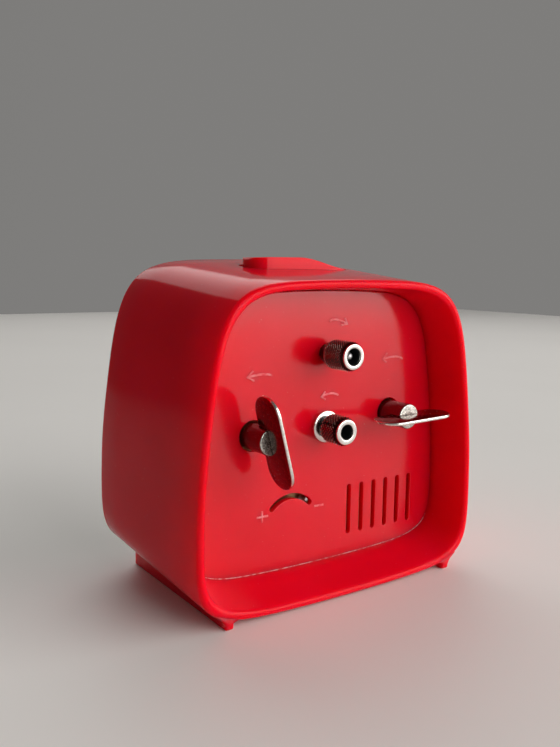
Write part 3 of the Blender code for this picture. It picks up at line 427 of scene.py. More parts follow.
def clear_plastic():
    """Thin clear acrylic: almost all of it lets light straight through; faint rubbing."""
    made = Finish("clear_plastic", (1.0, 1.0, 1.0), 0.04, 1.0, Alpha=0.05)
    made.roughness(made.ramp(made.noise(120, 5, 0.6), [(0.45, 0.02), (0.8, 0.12)]))
    made.normal(made.bump(made.noise(900, 3), 0.00001, 0.2))
    return made.material


RED = red_plastic("red_plastic", 0.10, 0.13)
PANEL_RED = red_plastic("red_panel_plastic", 0.15, 0.5, False)
ROCKER_RED = red_plastic("red_rocker_plastic", 0.12, 0.2, False)
NICKEL = nickel()
FLASH_PAINTED_HIGHLIGHT = flash_plastic()
MARK_RED_PAINTED_HIGHLIGHT = mark_plastic()
BRASS = satin_metal("brass", (0.40, 0.29, 0.14), (0.20, 0.14, 0.07))
STEEL = satin_metal("steel", (0.62, 0.62, 0.63), (0.40, 0.39, 0.38))
BLUED = satin_metal("blued_steel", (0.08, 0.10, 0.22), (0.03, 0.04, 0.09), (0.18, 0.35))
TRIM = satin_metal("silver_trim", (0.88, 0.88, 0.86), (0.82, 0.81, 0.79), (0.12, 0.20), (6000, 300, 300))
BELL_METAL = satin_metal("bell_metal", (0.66, 0.63, 0.56), (0.45, 0.42, 0.36))
DIAL = dial_card()
CLEAR = clear_plastic()
BLACK = painted("hand_black", (0.015, 0.015, 0.016))
HAND_RED = painted("hand_red", (0.55, 0.03, 0.02))
PRINT = painted("dial_print", (0.02, 0.018, 0.016), 0.5)
LUME = painted("lume_paint", (0.62, 0.66, 0.42), 0.6)

SLOT_FINISH = {
    "red_plastic": RED, "nickel": NICKEL, "brass": BRASS, "steel": STEEL, "blued_steel": BLUED,
    "silver_trim": TRIM, "clear_plastic": CLEAR, "dial_card": DIAL, "hand_black": BLACK,
    "hand_red": HAND_RED, "bell_metal": BELL_METAL,
}


def finish_cad_nodes():
    """Give every CAD node the finish of its material slot."""
    for part in frame["record"]["subparts"]:
        node = frame["nodes"][part["node"]]
        node.data.materials.clear()
        node.data.materials.append(SLOT_FINISH[part["material_slot"]])


# ---- mesh helpers ---------------------------------------------------------------------------
def linked(name, data):
    """A new object in the scene."""
    made = bpy.data.objects.new(name, data)
    bpy.context.scene.collection.objects.link(made)
    return made


def mesh_of(name, body):
    """The finished mesh of a bmesh, which is freed."""
    mesh = bpy.data.meshes.new(name)
    body.to_mesh(mesh)
    body.free()
    return mesh


def place(name, mesh, material, body, slot, *nodes):
    """A finished piece from a mesh: it rides a body, and may stand for CAD nodes."""
    mesh.materials.clear()
    mesh.materials.append(material)
    piece = linked(name, mesh)
    if nodes:
        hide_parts(*nodes)
    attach(piece, body)
    return piece


def smooth(mesh, angle=40):
    mesh.shade_smooth()
    mesh.set_sharp_from_angle(angle=math.radians(angle))
    return mesh


def flat_faced(mesh):
    """Shade the broad faces of a plate flat, so that only its edges blend."""
    for face in mesh.polygons:
        if abs(face.normal.y) > 0.999:
            face.use_smooth = False
    return mesh


def baked(source, weld=1e-7):
    """The evaluated mesh of a temporary object, in world space."""
    bpy.context.view_layer.update()
    shown = source.evaluated_get(bpy.context.evaluated_depsgraph_get())
    mesh = bpy.data.meshes.new_from_object(shown)
    mesh.transform(source.matrix_world)
    body = bmesh.new()
    body.from_mesh(mesh)
    bmesh.ops.remove_doubles(body, verts=body.verts, dist=weld)
    bmesh.ops.recalc_face_normals(body, faces=body.faces)
    body.to_mesh(mesh)
    body.free()
    bpy.data.objects.remove(source, do_unlink=True)
    return mesh


def boolean(base, other, operation):
    """One mesh cut by or joined with another."""
    body = linked("temporary", base)
    tool = linked("temporary", other)
    cut = body.modifiers.new("boolean", "BOOLEAN")
    cut.object = tool
    cut.operation = operation
    cut.solver = "EXACT"
    result = baked(body)
    bpy.data.objects.remove(tool, do_unlink=True)
    return result


def softened(mesh, width, segments=3, angle=35):
    """A mesh with its sharp edges rounded."""
    body = linked("temporary", mesh)
    bevel = body.modifiers.new("bevel", "BEVEL")
    bevel.width = width
    bevel.segments = segments
    bevel.limit_method = "ANGLE"
    bevel.angle_limit = math.radians(angle)
    return baked(body)


def joined(meshes):
    """Several meshes as one."""
    body = bmesh.new()
    for mesh in meshes:
        body.from_mesh(mesh)
    return mesh_of("joined", body)


def box_mesh(low, high):
    body = bmesh.new()
    bmesh.ops.create_cube(body, size=1.0)
    mesh = mesh_of("box", body)
    size = [b - a for a, b in zip(low, high)]
    middle = [(a + b) / 2 for a, b in zip(low, high)]
    mesh.transform(Matrix.Translation(middle) @ Matrix.Diagonal((*size, 1)))
    return mesh


def signed_area(loop):
    return sum(a[0] * b[1] - b[0] * a[1] for a, b in zip(loop, loop[1:] + loop[:1])) / 2


def plate(loops, depth_0, depth_1, edge=0.0):
    """A plate in the XZ plane with rounded edges: the first loop is its outline, then holes."""
    outline = bpy.data.curves.new("outline", "CURVE")
    outline.dimensions = "2D"
    outline.fill_mode = "BOTH"
    outline.extrude = abs(depth_1 - depth_0) / 2 - edge
    outline.bevel_depth = edge
    outline.bevel_resolution = 2
    outline.offset = -edge
    for i, loop in enumerate(loops):
        if (signed_area(loop) > 0) != (i == 0):
            loop = loop[::-1]
        spline = outline.splines.new("POLY")
        spline.points.add(len(loop) - 1)
        spline.use_cyclic_u = True
        for point, (x, z) in zip(spline.points, loop):
            point.co = (x, z, 0, 1)
    source = linked("outline", outline)
    middle = y_at((depth_0 + depth_1) / 2)
    source.matrix_world = Matrix.Translation((0, middle, 0)) @ Matrix.Rotation(math.pi / 2, 4, "X")
    return baked(source)


def skin(rings, closed=False, tips=()):
    """Join equal rings of (x, y, z) points; tips close the first and last ring."""
    body = bmesh.new()
    rows = [[body.verts.new(point) for point in ring] for ring in rings]
    pairs = list(zip(rows, rows[1:])) + ([(rows[-1], rows[0])] if closed else [])
    for a, b in pairs:
        for i in range(len(a)):
            j = (i + 1) % len(a)
            body.faces.new((a[i], a[j], b[j], b[i]))
    for row, tip in zip((rows[0], rows[-1]), tips):
        peak = body.verts.new(tip)
        for i in range(len(row)):
            body.faces.new((row[i], row[(i + 1) % len(row)], peak))
    bmesh.ops.recalc_face_normals(body, faces=body.faces)
    return mesh_of("skin", body)


def lathe(profile, centre, steps=72, wobble=None, ring=False):
    """A piece turned about a Y axis from (radius, depth) points; wobble may change a radius."""
    rings = []
    for k, (radius, depth) in enumerate(profile):
        row = []
        for i in range(steps):
            angle = 2 * math.pi * i / steps
            r = wobble(radius, angle, k) if wobble else radius
            row.append((centre[0] + r * math.cos(angle), y_at(depth), centre[1] + r * math.sin(angle)))
        rings.append(row)
    ends = () if ring else (profile[0], profile[-1])
    return skin(rings, closed=ring, tips=[(centre[0], y_at(depth), centre[1]) for _, depth in ends])


def tube(name, points, radius, resolution, widths=None):
    """A capped tube along points; widths scale its radius at each one."""
    path = bpy.data.curves.new(name, "CURVE")
    path.dimensions = "3D"
    path.bevel_depth = radius
    path.bevel_resolution = resolution
    path.use_fill_caps = True
    spline = path.splines.new("POLY")
    spline.points.add(len(points) - 1)
    for i, (point, place_at) in enumerate(zip(spline.points, points)):
        point.co = (*place_at, 1)
        if widths:
            point.radius = widths[i]
    return baked(linked(name, path))


def circle(radius, points=48, centre=(0, 0)):
    steps = [2 * math.pi * i / points for i in range(points)]
    return [(centre[0] + radius * math.cos(a), centre[1] + radius * math.sin(a)) for a in steps]


def arc(radius, first, last, points, centre=(0, 0)):
    steps = [math.radians(first + (last - first) * i / (points - 1)) for i in range(points)]
    return [(centre[0] + radius * math.cos(a), centre[1] + radius * math.sin(a)) for a in steps]


# ---- the television outline -----------------------------------------------------------------
def section(depth, inset=0.0, shrink=1.0, count=RING_POINTS):
    """Points of the case outline at a depth, moved in by an inset or shrunk to a share."""
    t = depth / CASE_DEPTH
    half = (REAR_HALF_WIDTH * (1 + FRONT_WIDER * t) - SKIN_TRIM - inset) * shrink
    top = (REAR_TOP_H * (1 - FRONT_LOWER * t) - inset) * shrink
    bottom = (REAR_BOTTOM_H * (1 - FRONT_LOWER * t) - inset) * shrink
    middle = REAR_MID_Z + FRONT_RISE * t
    crown = CROWN * shrink
    points = []
    for i in range(count):
        angle = 2 * math.pi * i / count
        angle += CORNER_CROWDING * math.sin(4 * angle)
        c = math.cos(angle)
        s = math.sin(angle)
        power = TOP_POWER if s >= 0 else BOTTOM_POWER
        height = top if s >= 0 else bottom
        reach = (abs(c) ** power + abs(s) ** power) ** (-1 / power)
        x = c * reach
        z = s * reach
        rise = height * z - crown * x * x * z
        up = height * z / top
        taper = TOP_TAPER * (up + math.hypot(up, TAPER_BLEND)) / 2
        points.append((half * x * (1 - taper), middle + rise))
    return points


def case_rings(profile):
    return [[(x, y_at(depth), z) for x, z in section(depth, inset)] for depth, inset in profile]


def skin_bottom(x, depth):
    """Height of the outer skin under a given x."""
    t = depth / CASE_DEPTH
    across = x / (REAR_HALF_WIDTH * (1 + FRONT_WIDER * t))
    deep = REAR_BOTTOM_H * (1 - FRONT_LOWER * t)
    share = (1 - abs(across) ** BOTTOM_POWER) ** (1 / BOTTOM_POWER)
    return REAR_MID_Z + FRONT_RISE * t - deep * share + CROWN * across * across * share


# ---- case, panel, rocker --------------------------------------------------------------------
def rounded(corner, radius_depth, radius_inset, first, last, count):
    """Profile points on an elliptical arc about a corner centre, angles in degrees."""
    points = []
    for i in range(count):
        a = math.radians(first + (last - first) * i / (count - 1))
        points.append((corner[0] - radius_depth * math.sin(a), corner[1] - radius_inset * math.cos(a)))
    return points


def case_profile():
    """(depth, inset) points from the front edge over the rear rim and into the recess."""
    front = [(CASE_DEPTH - MM + MM * math.sin(a), FRONT_ROUND * (1 - math.cos(a)))
             for a in [math.radians(90 - 18 * i) for i in range(6)]]
    rim = rounded((RIM_DEPTH, RIM_INSET), RIM_DEPTH, RIM_INSET, 0, 180, 11)
    wall = []
    for i in range(1, RECESS_STEPS + 1):
        share = i / RECESS_STEPS
        depth = RIM_DEPTH + (PANEL_DEPTH - RIM_DEPTH) * share
        wall.append((depth, 2 * RIM_INSET + (PANEL_INSET - 2 * RIM_INSET) * share))
    inside = [(PANEL_BACK, PANEL_INSET - PANEL_BACK_STEP), (PANEL_BACK, WALL), (CASE_DEPTH, WALL)]
    skin_steps = [(CASE_DEPTH * share, 0.0) for share in (0.8, 0.6, 0.4, 0.2)]
    return front + skin_steps + rim + wall + inside


def bow(start, control, end, count):
    """Points of a quadratic curve, without its first point."""
    points = []
    for i in range(1, count + 1):
        t = i / count
        points.append(tuple(a * (1 - t) ** 2 + b * 2 * t * (1 - t) + c * t * t
                            for a, b, c in zip(start, control, end)))
    return points


def runner_side(at, way, spread, lift, pull):
    """Half of a runner section, from the middle of its foot up into the case wall."""
    half = RUNNER_HALF * pull
    corner = RUNNER_CORNER
    root = skin_bottom(RUNNER_X, at)
    out = RUNNER_X + way * (half + spread)
    wall = skin_bottom(out, at) + RUNNER_SINK
    knee = max(root - spread * 0.8, lift + corner + 0.1 * MM)
    side = [(0.0, lift), (half - corner, lift)]
    side += bow((half - corner, lift), (half, lift), (half, lift + corner), 4)
    side += bow((half, knee), (half, root + 0.1 * MM), (half + spread, wall), 7)
    return [(way * x, z) for x, z in side]


def runner_mesh(side):
    """A rail whose root flows into the case with a fillet on each side."""
    rings = []
    steps = [(depth * MM, pull, lift * MM) for depth, pull, lift in RUNNER_END]
    steps += [(RUNNER_REAR + (RUNNER_FRONT - RUNNER_REAR) * i / RUNNER_STEPS, 1.0, 0.0)
              for i in range(RUNNER_STEPS + 1)]
    for depth, pull, lift in steps:
        at = min(max(depth, 0.8 * MM), CASE_DEPTH - 1.6 * MM)
        outer = runner_side(at, 1, OUTER_FLARE, lift, pull)
        inner = runner_side(at, -1, INNER_FLARE, lift, pull)
        ring = outer + inner[:0:-1]
        rings.append([(side * (RUNNER_X + x), y_at(depth), z) for x, z in ring])
    tips = [(side * RUNNER_X, ring[0][1], ring[6][2]) for ring in (rings[0], rings[-1])]
    return skin(rings, tips=tips)


def make_case():
    shell = skin(case_rings(case_profile()), closed=True)
    low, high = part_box("alarm_rocker")
    window = rounded_rectangle(low[0] - 0.7 * MM, high[0] + 1.3 * MM, low[1] - ROCKER_CLEAR,
                               high[1] + ROCKER_CLEAR, ROCKER_CORNER + 0.3 * MM)
    shell = boolean(shell, prism(window, 88 * MM, 110 * MM), "DIFFERENCE")
    place("case_skin", smooth(shell), RED, ROOT, "red_plastic", "case_shell")
    for side, name in ((-1, "runner_right"), (1, "runner_left")):
        place(name, smooth(runner_mesh(side), 60), RED, ROOT, "red_plastic")
    outline = [(x * MM, z * MM) for x, z in LUG_OUTLINE]
    for name, near in (("rear", REAR_Y - high[1] - 2.6 * MM), ("front", REAR_Y - low[1] + 0.6 * MM)):
        lug = plate([outline, circle(ROCKER_BORE, 24, ROCKER_PIVOT)], near, near + LUG_THICK)
        place("rocker_lug_" + name, smooth(lug), RED, ROOT, "red_plastic")


def rounded_rectangle(x_0, x_1, z_0, z_1, radius, corner=13):
    return (arc(radius, 0, 90, corner, (x_1 - radius, z_1 - radius))
            + arc(radius, 90, 180, corner, (x_0 + radius, z_1 - radius))
            + arc(radius, 180, 270, corner, (x_0 + radius, z_0 + radius))
            + arc(radius, 270, 360, corner, (x_1 - radius, z_0 + radius)))


def prism(loop, z_0, z_1):
    """An upright block from an (x, y) loop."""
    middle = [sum(point[k] for point in loop) / len(loop) for k in (0, 1)]
    return skin([[(x, y, z) for x, y in loop] for z in (z_0, z_1)],
                tips=[(*middle, z) for z in (z_0, z_1)])


def make_rocker():
    low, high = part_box("alarm_rocker")
    top = high[2]
    outline = [(high[0], 92.0 * MM), (high[0], top - 0.9 * MM), (high[0] - 0.6 * MM, top - 0.3 * MM),
               (high[0] - 5 * MM, top - 0.1 * MM)]
    for i in range(25):
        share = i / 24
        fall = (1 - math.cos(math.pi * share)) / 2
        outline.append((low[0] * share, top - (top - ROCKER_TAIL) * fall))
    outline += [(low[0], 93.0 * MM)] + [(x * MM, z * MM) for x, z in ROCKER_LEG]
    body = plate([outline, circle(ROCKER_BORE, 24, ROCKER_PIVOT)], REAR_Y - high[1], REAR_Y - low[1])
    plan = rounded_rectangle(low[0], high[0], low[1], high[1], ROCKER_CORNER)
    body = boolean(body, prism(plan, 80 * MM, 110 * MM), "INTERSECT")
    body = softened(body, 0.45 * MM, 3, 32)
    place("rocker_cap", smooth(body), ROCKER_RED, "rocker", "red_plastic", "alarm_rocker")


def regulator_slot():
    half = REGULATOR_HALF
    first, last = REGULATOR_ARC
    outer = arc(REGULATOR_R + half, first, last, 24, BALANCE)
    inner = arc(REGULATOR_R - half, last, first, 24, BALANCE)
    ends = []
    for angle, way in ((last, 1), (first, -1)):
        a = math.radians(angle)
        middle = (BALANCE[0] + REGULATOR_R * math.cos(a), BALANCE[1] + REGULATOR_R * math.sin(a))
        start = angle if way > 0 else angle + 180
        ends.append(arc(half, start, start + 180, 7, middle)[1:-1])
    return outer + ends[0] + inner + ends[1]


def sound_slot(x):
    half = SLOT_WIDTH / 2
    return (arc(half, 0, 180, 9, (x, SLOT_Z[1] - half)) + arc(half, 180, 360, 9, (x, SLOT_Z[0] + half)))


def ridge_line(points):
    """A raised moulded line along (x, z) points in mm, half sunk in the panel."""
    face = y_at(PANEL_DEPTH)
    mesh = tube("ridge", [(x * MM, face + MARK_RISE, z * MM) for x, z in points], MARK_R, 3)
    mesh.transform(Matrix.Translation((0, face, 0)) @ Matrix.Diagonal((1, MARK_FLATTEN, 1, 1))
                   @ Matrix.Translation((0, -face, 0)))
    return mesh


def bent(first, middle, last, count=9):
    """Points on a smooth bow through three points."""
    a, b, c = Vector(first), Vector(middle), Vector(last)
    control = b * 2 - (a + c) / 2
    return [tuple(a * (1 - t) ** 2 + control * 2 * t * (1 - t) + c * t * t)
            for t in [i / (count - 1) for i in range(count)]]


def make_panel():
    holes = [circle(KEY_HOLE_R, 48, TIME_KEY), circle(KEY_HOLE_R, 48, ALARM_KEY),
             circle(SHAFT_HOLE_R, 32, CENTRE), circle(SHAFT_HOLE_R, 32, ALARM_SET), regulator_slot()]
    holes += [sound_slot(x) for x in SLOT_X]
    outline = section(PANEL_DEPTH, PANEL_INSET + PANEL_GAP)
    panel = plate([outline] + holes, PANEL_DEPTH, PANEL_DEPTH + PANEL_THICK, PANEL_EDGE)
    place("panel_skin", flat_faced(smooth(panel)), PANEL_RED, ROOT, "red_plastic", "back_panel")
    marks = []
    for tail, bend, tip, barb_a, barb_b in ARROWS:
        marks += [ridge_line(bent(tail, bend, tip)), ridge_line((barb_a, tip, barb_b))]
    marks += [ridge_line(line) for line in PLUS_AND_MINUS]
    place("panel_marks", smooth(joined(marks), 60), MARK_RED_PAINTED_HIGHLIGHT, ROOT, "red_plastic")
    place("panel_flash", smooth(seam_flash(), 80), FLASH_PAINTED_HIGHLIGHT, ROOT, "red_plastic")


def seam_flash():
    """A thin uneven bead of flash along the lower seam of the panel."""
    depth = PANEL_DEPTH - FLASH_BACK
    ring = section(depth, PANEL_INSET + 0.02 * MM, count=720)
    lower = sorted(point for point in ring if point[1] < FLASH_BELOW_Z)
    widths = [0.75 + 0.35 * math.sin(1.7 * i) * math.sin(0.37 * i + 1) for i in range(len(lower))]
    return tube("flash", [(x, y_at(depth), z) for x, z in lower], FLASH_R, 2, widths)


# ---- keys and knobs -------------------------------------------------------------------------
def wing_turn(centre, lean):
    return (Matrix.Translation((centre[0], 0, centre[1]))
            @ Matrix.Rotation(math.radians(lean), 4, "Y"))


def make_key(side, centre, lean):
    hub_low, hub_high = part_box(side + "_key_hub")
    end = REAR_Y - hub_high[1]
    foot = REAR_Y - hub_low[1]
    radius = (hub_high[0] - hub_low[0]) / 2
    profile = [(radius - HUB_ROUND + HUB_ROUND * math.sin(a), end + HUB_ROUND - HUB_ROUND * math.cos(a))
               for a in [math.radians(15 * i) for i in range(7)]]
    hub = lathe([(radius * 0.5, end)] + profile + [(radius, foot)], centre, 96)
    low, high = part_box(side + "_key_wing")
    half = WING_THICK / 2 + WING_GAP
    groove = box_mesh((-half, low[1] - WING_GAP, -radius * 1.4), (half, high[1] + MM, radius * 1.4))
    groove.transform(wing_turn(centre, lean))
    hub = softened(boolean(hub, groove, "DIFFERENCE"), 0.1 * MM, 2, 40)
    # painted light: hub ends painted bright as a painted highlight, hub sides painted dark as painted shade
    bright, dull = (0.62, 0.59, 0.54), (0.20, 0.15, 0.14)
    hub_finish = handled_nickel(side + "_hub_nickel_painted_light", (0.0, 1.0, 0.0), bright, dull)
    place(side + "_hub", smooth(hub), hub_finish, side + "_key", "nickel", side + "_key_hub")
    blade = wing_mesh(WING_LENGTH, high[1] - low[1], WING_THICK)
    blade.transform(wing_turn(centre, lean) @ Matrix.Translation((0, (low[1] + high[1]) / 2, 0)))
    # painted light: wing faces painted dark as a painted dark reflection, wing edges painted bright as a
    # painted highlight
    square = (math.cos(math.radians(lean)), 0.0, -math.sin(math.radians(lean)))
    wing_finish = handled_nickel(side + "_wing_nickel_painted_light", square, (0.15, 0.11, 0.10), (0.85, 0.82, 0.77))
    place(side + "_wing", smooth(blade), wing_finish, side + "_key", "nickel", side + "_key_wing")


def wing_mesh(length, width, thick):
    """A flat blade in the YZ plane with full round ends and broken edges."""
    half = width / 2
    reach = length / 2 - half
    loop = arc(half, 0, 180, 33, (0, reach)) + arc(half, 180, 360, 33, (0, -reach))
    rings = []
    for x, pull in WING_STEPS:
        share_y = (half - pull * MM) / half
        share_z = (length / 2 - pull * MM) / (length / 2)
        rings.append([(x * thick, y * share_y, z * share_z) for y, z in loop])
    return skin(rings, tips=((-thick / 2, 0, 0), (thick / 2, 0, 0)))


def make_knob(name, body, centre, bore, knurls):
    """A diamond-knurled knob: bright end ring, a bore lined black as painted shade, and a smooth neck."""
    low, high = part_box(name)
    end = REAR_Y - high[1]
    foot = REAR_Y - low[1]
    radius = (high[0] - low[0]) / 2
    ring = KNOB_RING_R
    neck = KNOB_NECK_R
    grip_0 = end + GRIP_START
    grip_1 = foot - NECK_LENGTH
    pitch = 2 * math.pi * radius / knurls
    grip = []
    for i in range(KNURL_ROWS + 1):
        along = grip_0 + (grip_1 - grip_0) * i / KNURL_ROWS
        near = max(0.0, 1 - (along - grip_0) / (1.5 * MM))
        far = max(0.0, 1 - (grip_1 - along) / (0.8 * MM))
        grip.append((radius - (radius - ring) * near ** 2 - (radius - neck) * far ** 2, along))

    def diamond(r, angle, k):
        along = grip[k][1] / pitch
        around = angle * knurls / (2 * math.pi)
        a = abs((around + along) % 1 - 0.5) * 2
        b = abs((around - along) % 1 - 0.5) * 2
        edge = max(0.0, min(1.0, 6 * (k - 1) / KNURL_ROWS, 6 * (KNURL_ROWS + 1 - k) / KNURL_ROWS))
        return r - KNURL_DEPTH * (1 - min(a, b)) * edge

    core = bore + 0.35 * MM
    grip = [(core, grip_0)] + grip + [(core, grip_1)]
    knurl = lathe(grip, centre, knurls * 12, diamond, ring=True)
    finish = knurled(name + "_knurl_painted_sparkle", centre, radius, KNURL_DEPTH)
    place(name + "_grip", smooth(knurl, 30), finish, body, "nickel", name)
    lip = 0.2 * MM
    face = [(bore, end + 0.8 * MM), (bore, end + lip), (bore + lip * 0.3, end + lip * 0.3), (bore + lip, end),
            (ring - lip, end), (ring - lip * 0.3, end + lip * 0.3), (ring, end + lip), (ring, end + 0.7 * MM)]
    place(name + "_ring", smooth(lathe(face, centre, 96, ring=True), 50), NICKEL, body, "nickel")
    # painted shade: a black lining inside the bore stands in for the shade in the hole
    wall = [(bore + 0.02 * MM, end + 4.6 * MM), (bore + 0.02 * MM, end + 0.7 * MM),
            (bore + 0.4 * MM, end + 0.7 * MM), (bore + 0.4 * MM, end + 4.9 * MM)]
    place(name + "_bore_painted_shade", smooth(lathe(wall, centre, 72), 50), BLACK, body, "nickel")
    collar = [(neck - 0.3 * MM, grip_1 - 0.3 * MM), (neck, grip_1 - 0.3 * MM), (neck, foot - 0.3 * MM),
              (neck - 0.3 * MM, foot)]
    place(name + "_neck", smooth(lathe(collar, centre, 72), 50), finish, body, "nickel")


def make_shaft_end():
    """The domed end of the alarm arbor inside its knob."""
    end = REAR_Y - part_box("alarm_set_knob")[1][1]
    tip = [(0.1 * MM, end + 1.5 * MM), (0.6 * MM, end + 1.6 * MM), (1.0 * MM, end + 1.95 * MM),
           (1.15 * MM, end + 2.4 * MM), (1.15 * MM, end + 4.7 * MM)]
    place("alarm_shaft_end", smooth(lathe(tip, ALARM_SET, 40), 50), STEEL, "alarm_setting", "nickel")


def make_flange():
    """A plain washer with rounded edges under the time knob."""
    low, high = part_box("knob_flange")
    near = REAR_Y - high[1]
    far = REAR_Y - low[1]
    edge = 0.2 * MM
    profile = [(FLANGE_BORE, near), (FLANGE_R - edge, near), (FLANGE_R, near + edge), (FLANGE_R, far),
               (FLANGE_BORE, far)]
    mesh = smooth(lathe(profile, CENTRE, 96, ring=True), 50)
    place("flange_ring", mesh, NICKEL, ROOT, "nickel", "knob_flange")


# ---- front ----------------------------------------------------------------------------------
def in_mm(pairs):
    return [(depth * MM, inset * MM) for depth, inset in pairs]


def dome(steps):
    """Rings of the crystal, each the case outline shrunk to a share at its own depth."""
    return [[(x, y_at(depth * MM), z) for x, z in section(DOME_OUTLINE, 0.0, share)]
            for depth, share in steps]


def make_front():
    rings = case_rings(in_mm(BEZEL_CREST))
    place("bezel_skin", smooth(skin(rings, closed=True), 30), TRIM, ROOT, "silver_trim", "front_bezel")
    middle = REAR_MID_Z + FRONT_RISE
    outer = case_rings(in_mm(CRYSTAL_RIM)) + dome(CRYSTAL_DOME)
    inner = dome(CRYSTAL_INNER_DOME) + case_rings(in_mm(CRYSTAL_INNER_RIM))
    glass = skin(inner + outer, tips=[(0, y_at(depth), middle) for depth in CRYSTAL_PEAKS])
    place("crystal_skin", smooth(glass, 30), CLEAR, ROOT, "clear_plastic", "crystal")


def dial_point(radius, degrees):
    """A point of the dial at a clock angle."""
    a = math.radians(degrees)
    return (CENTRE[0] + radius * math.sin(a), CENTRE[1] + radius * math.cos(a))


def numeral(text, radius, degrees, size, depth):
    letters = bpy.data.curves.new("numeral", "FONT")
    letters.body = text
    letters.size = size
    letters.align_x = "CENTER"
    letters.align_y = "CENTER"
    letters.extrude = 0.02 * MM
    letters.offset = 0.12 * MM
    source = linked("numeral", letters)
    x, z = dial_point(radius, degrees)
    source.matrix_world = Matrix.Translation((x, y_at(depth), z)) @ Matrix.Rotation(math.pi / 2, 4, "X")
    return baked(source)


def printed(loops, rise=PRINT_RISE):
    """A thin film of paint on the dial."""
    return plate(loops, DIAL_FACE - PRINT_SINK, DIAL_FACE + rise)


def tick(minute):
    r_0, half = HOUR_TICK if minute % 5 == 0 else MINUTE_TICK
    a = math.radians(minute * 6)
    way = Vector((math.sin(a), math.cos(a)))
    side = Vector((way.y, -way.x))
    middle = Vector(CENTRE)
    corners = ((r_0, half), (TICK_OUTER, half), (TICK_OUTER, -half), (r_0, -half))
    return printed([[tuple(middle + way * r + side * across) for r, across in corners]])


def make_dial():
    minute_track, alarm_track = (printed([circle(outer, count, CENTRE), circle(inner, count, CENTRE)])
                                 for outer, inner, count in TRACKS)
    marks = [tick(minute) for minute in range(60)] + [minute_track]
    for (radius, size), after in ((HOUR_NUMERALS, [alarm_track]), (ALARM_NUMERALS, [])):
        marks += [numeral(str(h), radius, h * 30, size, DIAL_FACE) for h in range(1, 13)] + after
    place("dial_print", joined(marks), PRINT, ROOT, "hand_black")
    at, dot, rise = LUME_DOTS
    dots = [printed([circle(dot, 20, dial_point(at, h * 30))], rise) for h in range(12)]
    place("dial_lume", joined(dots), LUME, ROOT, "dial_card")


def make_hand_lume():
    for node, body, angle, r_0, r_1, width in HAND_LUME:
        front = REAR_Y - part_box(node)[0][1]
        a = math.radians(angle)
        way = Vector((math.sin(a), math.cos(a)))
        side = Vector((way.y, -way.x)) * width * MM
        middle = Vector(CENTRE)
        loop = [tuple(middle + way * r_0 * MM), tuple(middle + way * (r_0 + 2) * MM + side),
                tuple(middle + way * r_1 * MM), tuple(middle + way * (r_0 + 2) * MM - side)]
        place(node + "_lume", plate([loop], front, front + 0.06 * MM), LUME, body, "dial_card")


# ---- stage, light and camera ----------------------------------------------------------------
def make_camera():
    yaw, pitch, roll = (math.radians(v) for v in (YAW, PITCH, ROLL))
    forward = Vector((-math.sin(yaw) * math.cos(pitch), -math.cos(yaw) * math.cos(pitch), -math.sin(pitch)))
    right = forward.cross(Vector((0, 0, 1))).normalized()
    up = right.cross(forward)
    turned_right = right * math.cos(roll) + up * math.sin(roll)
    turned_up = up * math.cos(roll) - right * math.sin(roll)
    lens = bpy.data.cameras.new("camera")
    lens.lens = LENS
    lens.sensor_width = SENSOR
    lens.clip_start = 0.01
    camera = linked("camera", lens)
    axes = Matrix((turned_right, turned_up, -forward)).transposed().to_4x4()
    camera.matrix_world = Matrix.Translation(CAMERA) @ axes
    bpy.context.scene.camera = camera


def area_light(name, place_at, target, size, power, colour):
    light = bpy.data.lights.new(name, "AREA")
    light.shape = "RECTANGLE"
    light.size, light.size_y = size
    light.energy = power
    light.color = colour
    lamp = linked(name, light)
    way = Vector(target) - Vector(place_at)
    lamp.matrix_world = Matrix.Translation(place_at) @ way.to_track_quat("-Z", "Y").to_matrix().to_4x4()


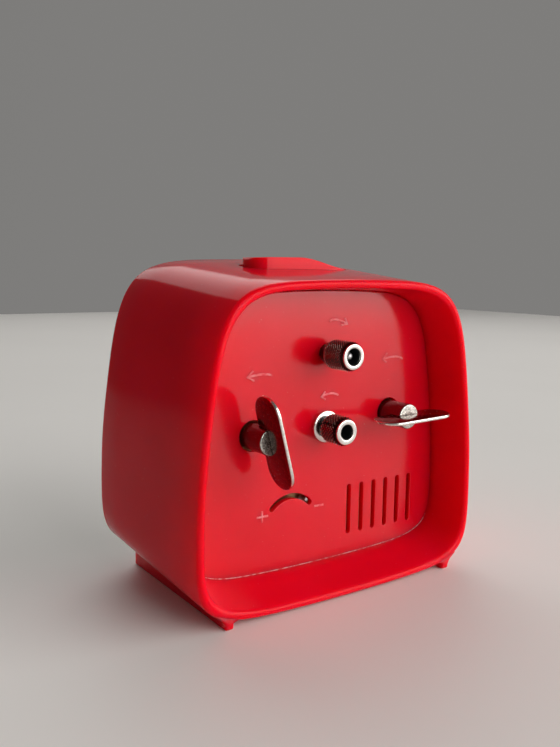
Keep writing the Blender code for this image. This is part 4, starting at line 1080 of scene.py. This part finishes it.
def make_stage():
    body = bmesh.new()
    bmesh.ops.create_grid(body, x_segments=2, y_segments=2, size=FLOOR_HALF)
    mesh = mesh_of("floor", body)
    paint = Finish("floor_paint", (0.88, 0.86, 0.83), 0.5)
    paint.colour(paint.ramp(paint.noise(3, 3), [(0.3, (0.86, 0.84, 0.81)), (0.7, (0.90, 0.88, 0.85))]))
    mesh.materials.append(paint.material)
    floor = linked("floor", mesh)
    make_world()
    bpy.context.scene.view_settings.view_transform = "Standard"
    area_light("window", (-0.92, 1.31, 0.42), LIT_POINT, (2.8, 1.8), 54, (1.0, 0.98, 0.96))
    area_light("front_fill", (-0.35, -0.85, 1.05), LIT_POINT, (1.2, 1.2), 5.5, (1.0, 0.99, 0.97))


def make_world():
    """A soft room: pale on one side of the clock and dim on the other."""
    world = bpy.data.worlds.new("studio")
    world.use_nodes = True
    tree = world.node_tree
    way = tree.nodes.new("ShaderNodeTexCoord").outputs["Generated"]
    turn = tree.nodes.new("ShaderNodeVectorMath")
    turn.operation = "DOT_PRODUCT"
    turn.inputs[1].default_value = BRIGHT_SIDE
    tree.links.new(way, turn.inputs[0])
    shade = tree.nodes.new("ShaderNodeMapRange")
    shade.interpolation_type = "SMOOTHSTEP"
    for socket, value in (("From Min", -0.1), ("From Max", 0.8), ("To Min", 0.10), ("To Max", 0.21)):
        shade.inputs[socket].default_value = value
    tree.links.new(turn.outputs["Value"], shade.inputs["Value"])
    background = tree.nodes["Background"]
    background.inputs["Color"].default_value = (1.0, 0.98, 0.95, 1)
    tree.links.new(shade.outputs["Result"], background.inputs["Strength"])
    bpy.context.scene.world = world


finish_cad_nodes()
make_case()
make_rocker()
make_panel()
make_key("time", TIME_KEY, 15.0)
make_key("alarm", ALARM_KEY, 91.5)
make_knob("time_set_knob", "hand_setting", CENTRE, 2.25 * MM, 24)
make_knob("alarm_set_knob", "alarm_setting", ALARM_SET, 2.5 * MM, 30)
make_shaft_end()
make_flange()
make_front()
make_dial()
make_hand_lume()
make_stage()
make_camera()
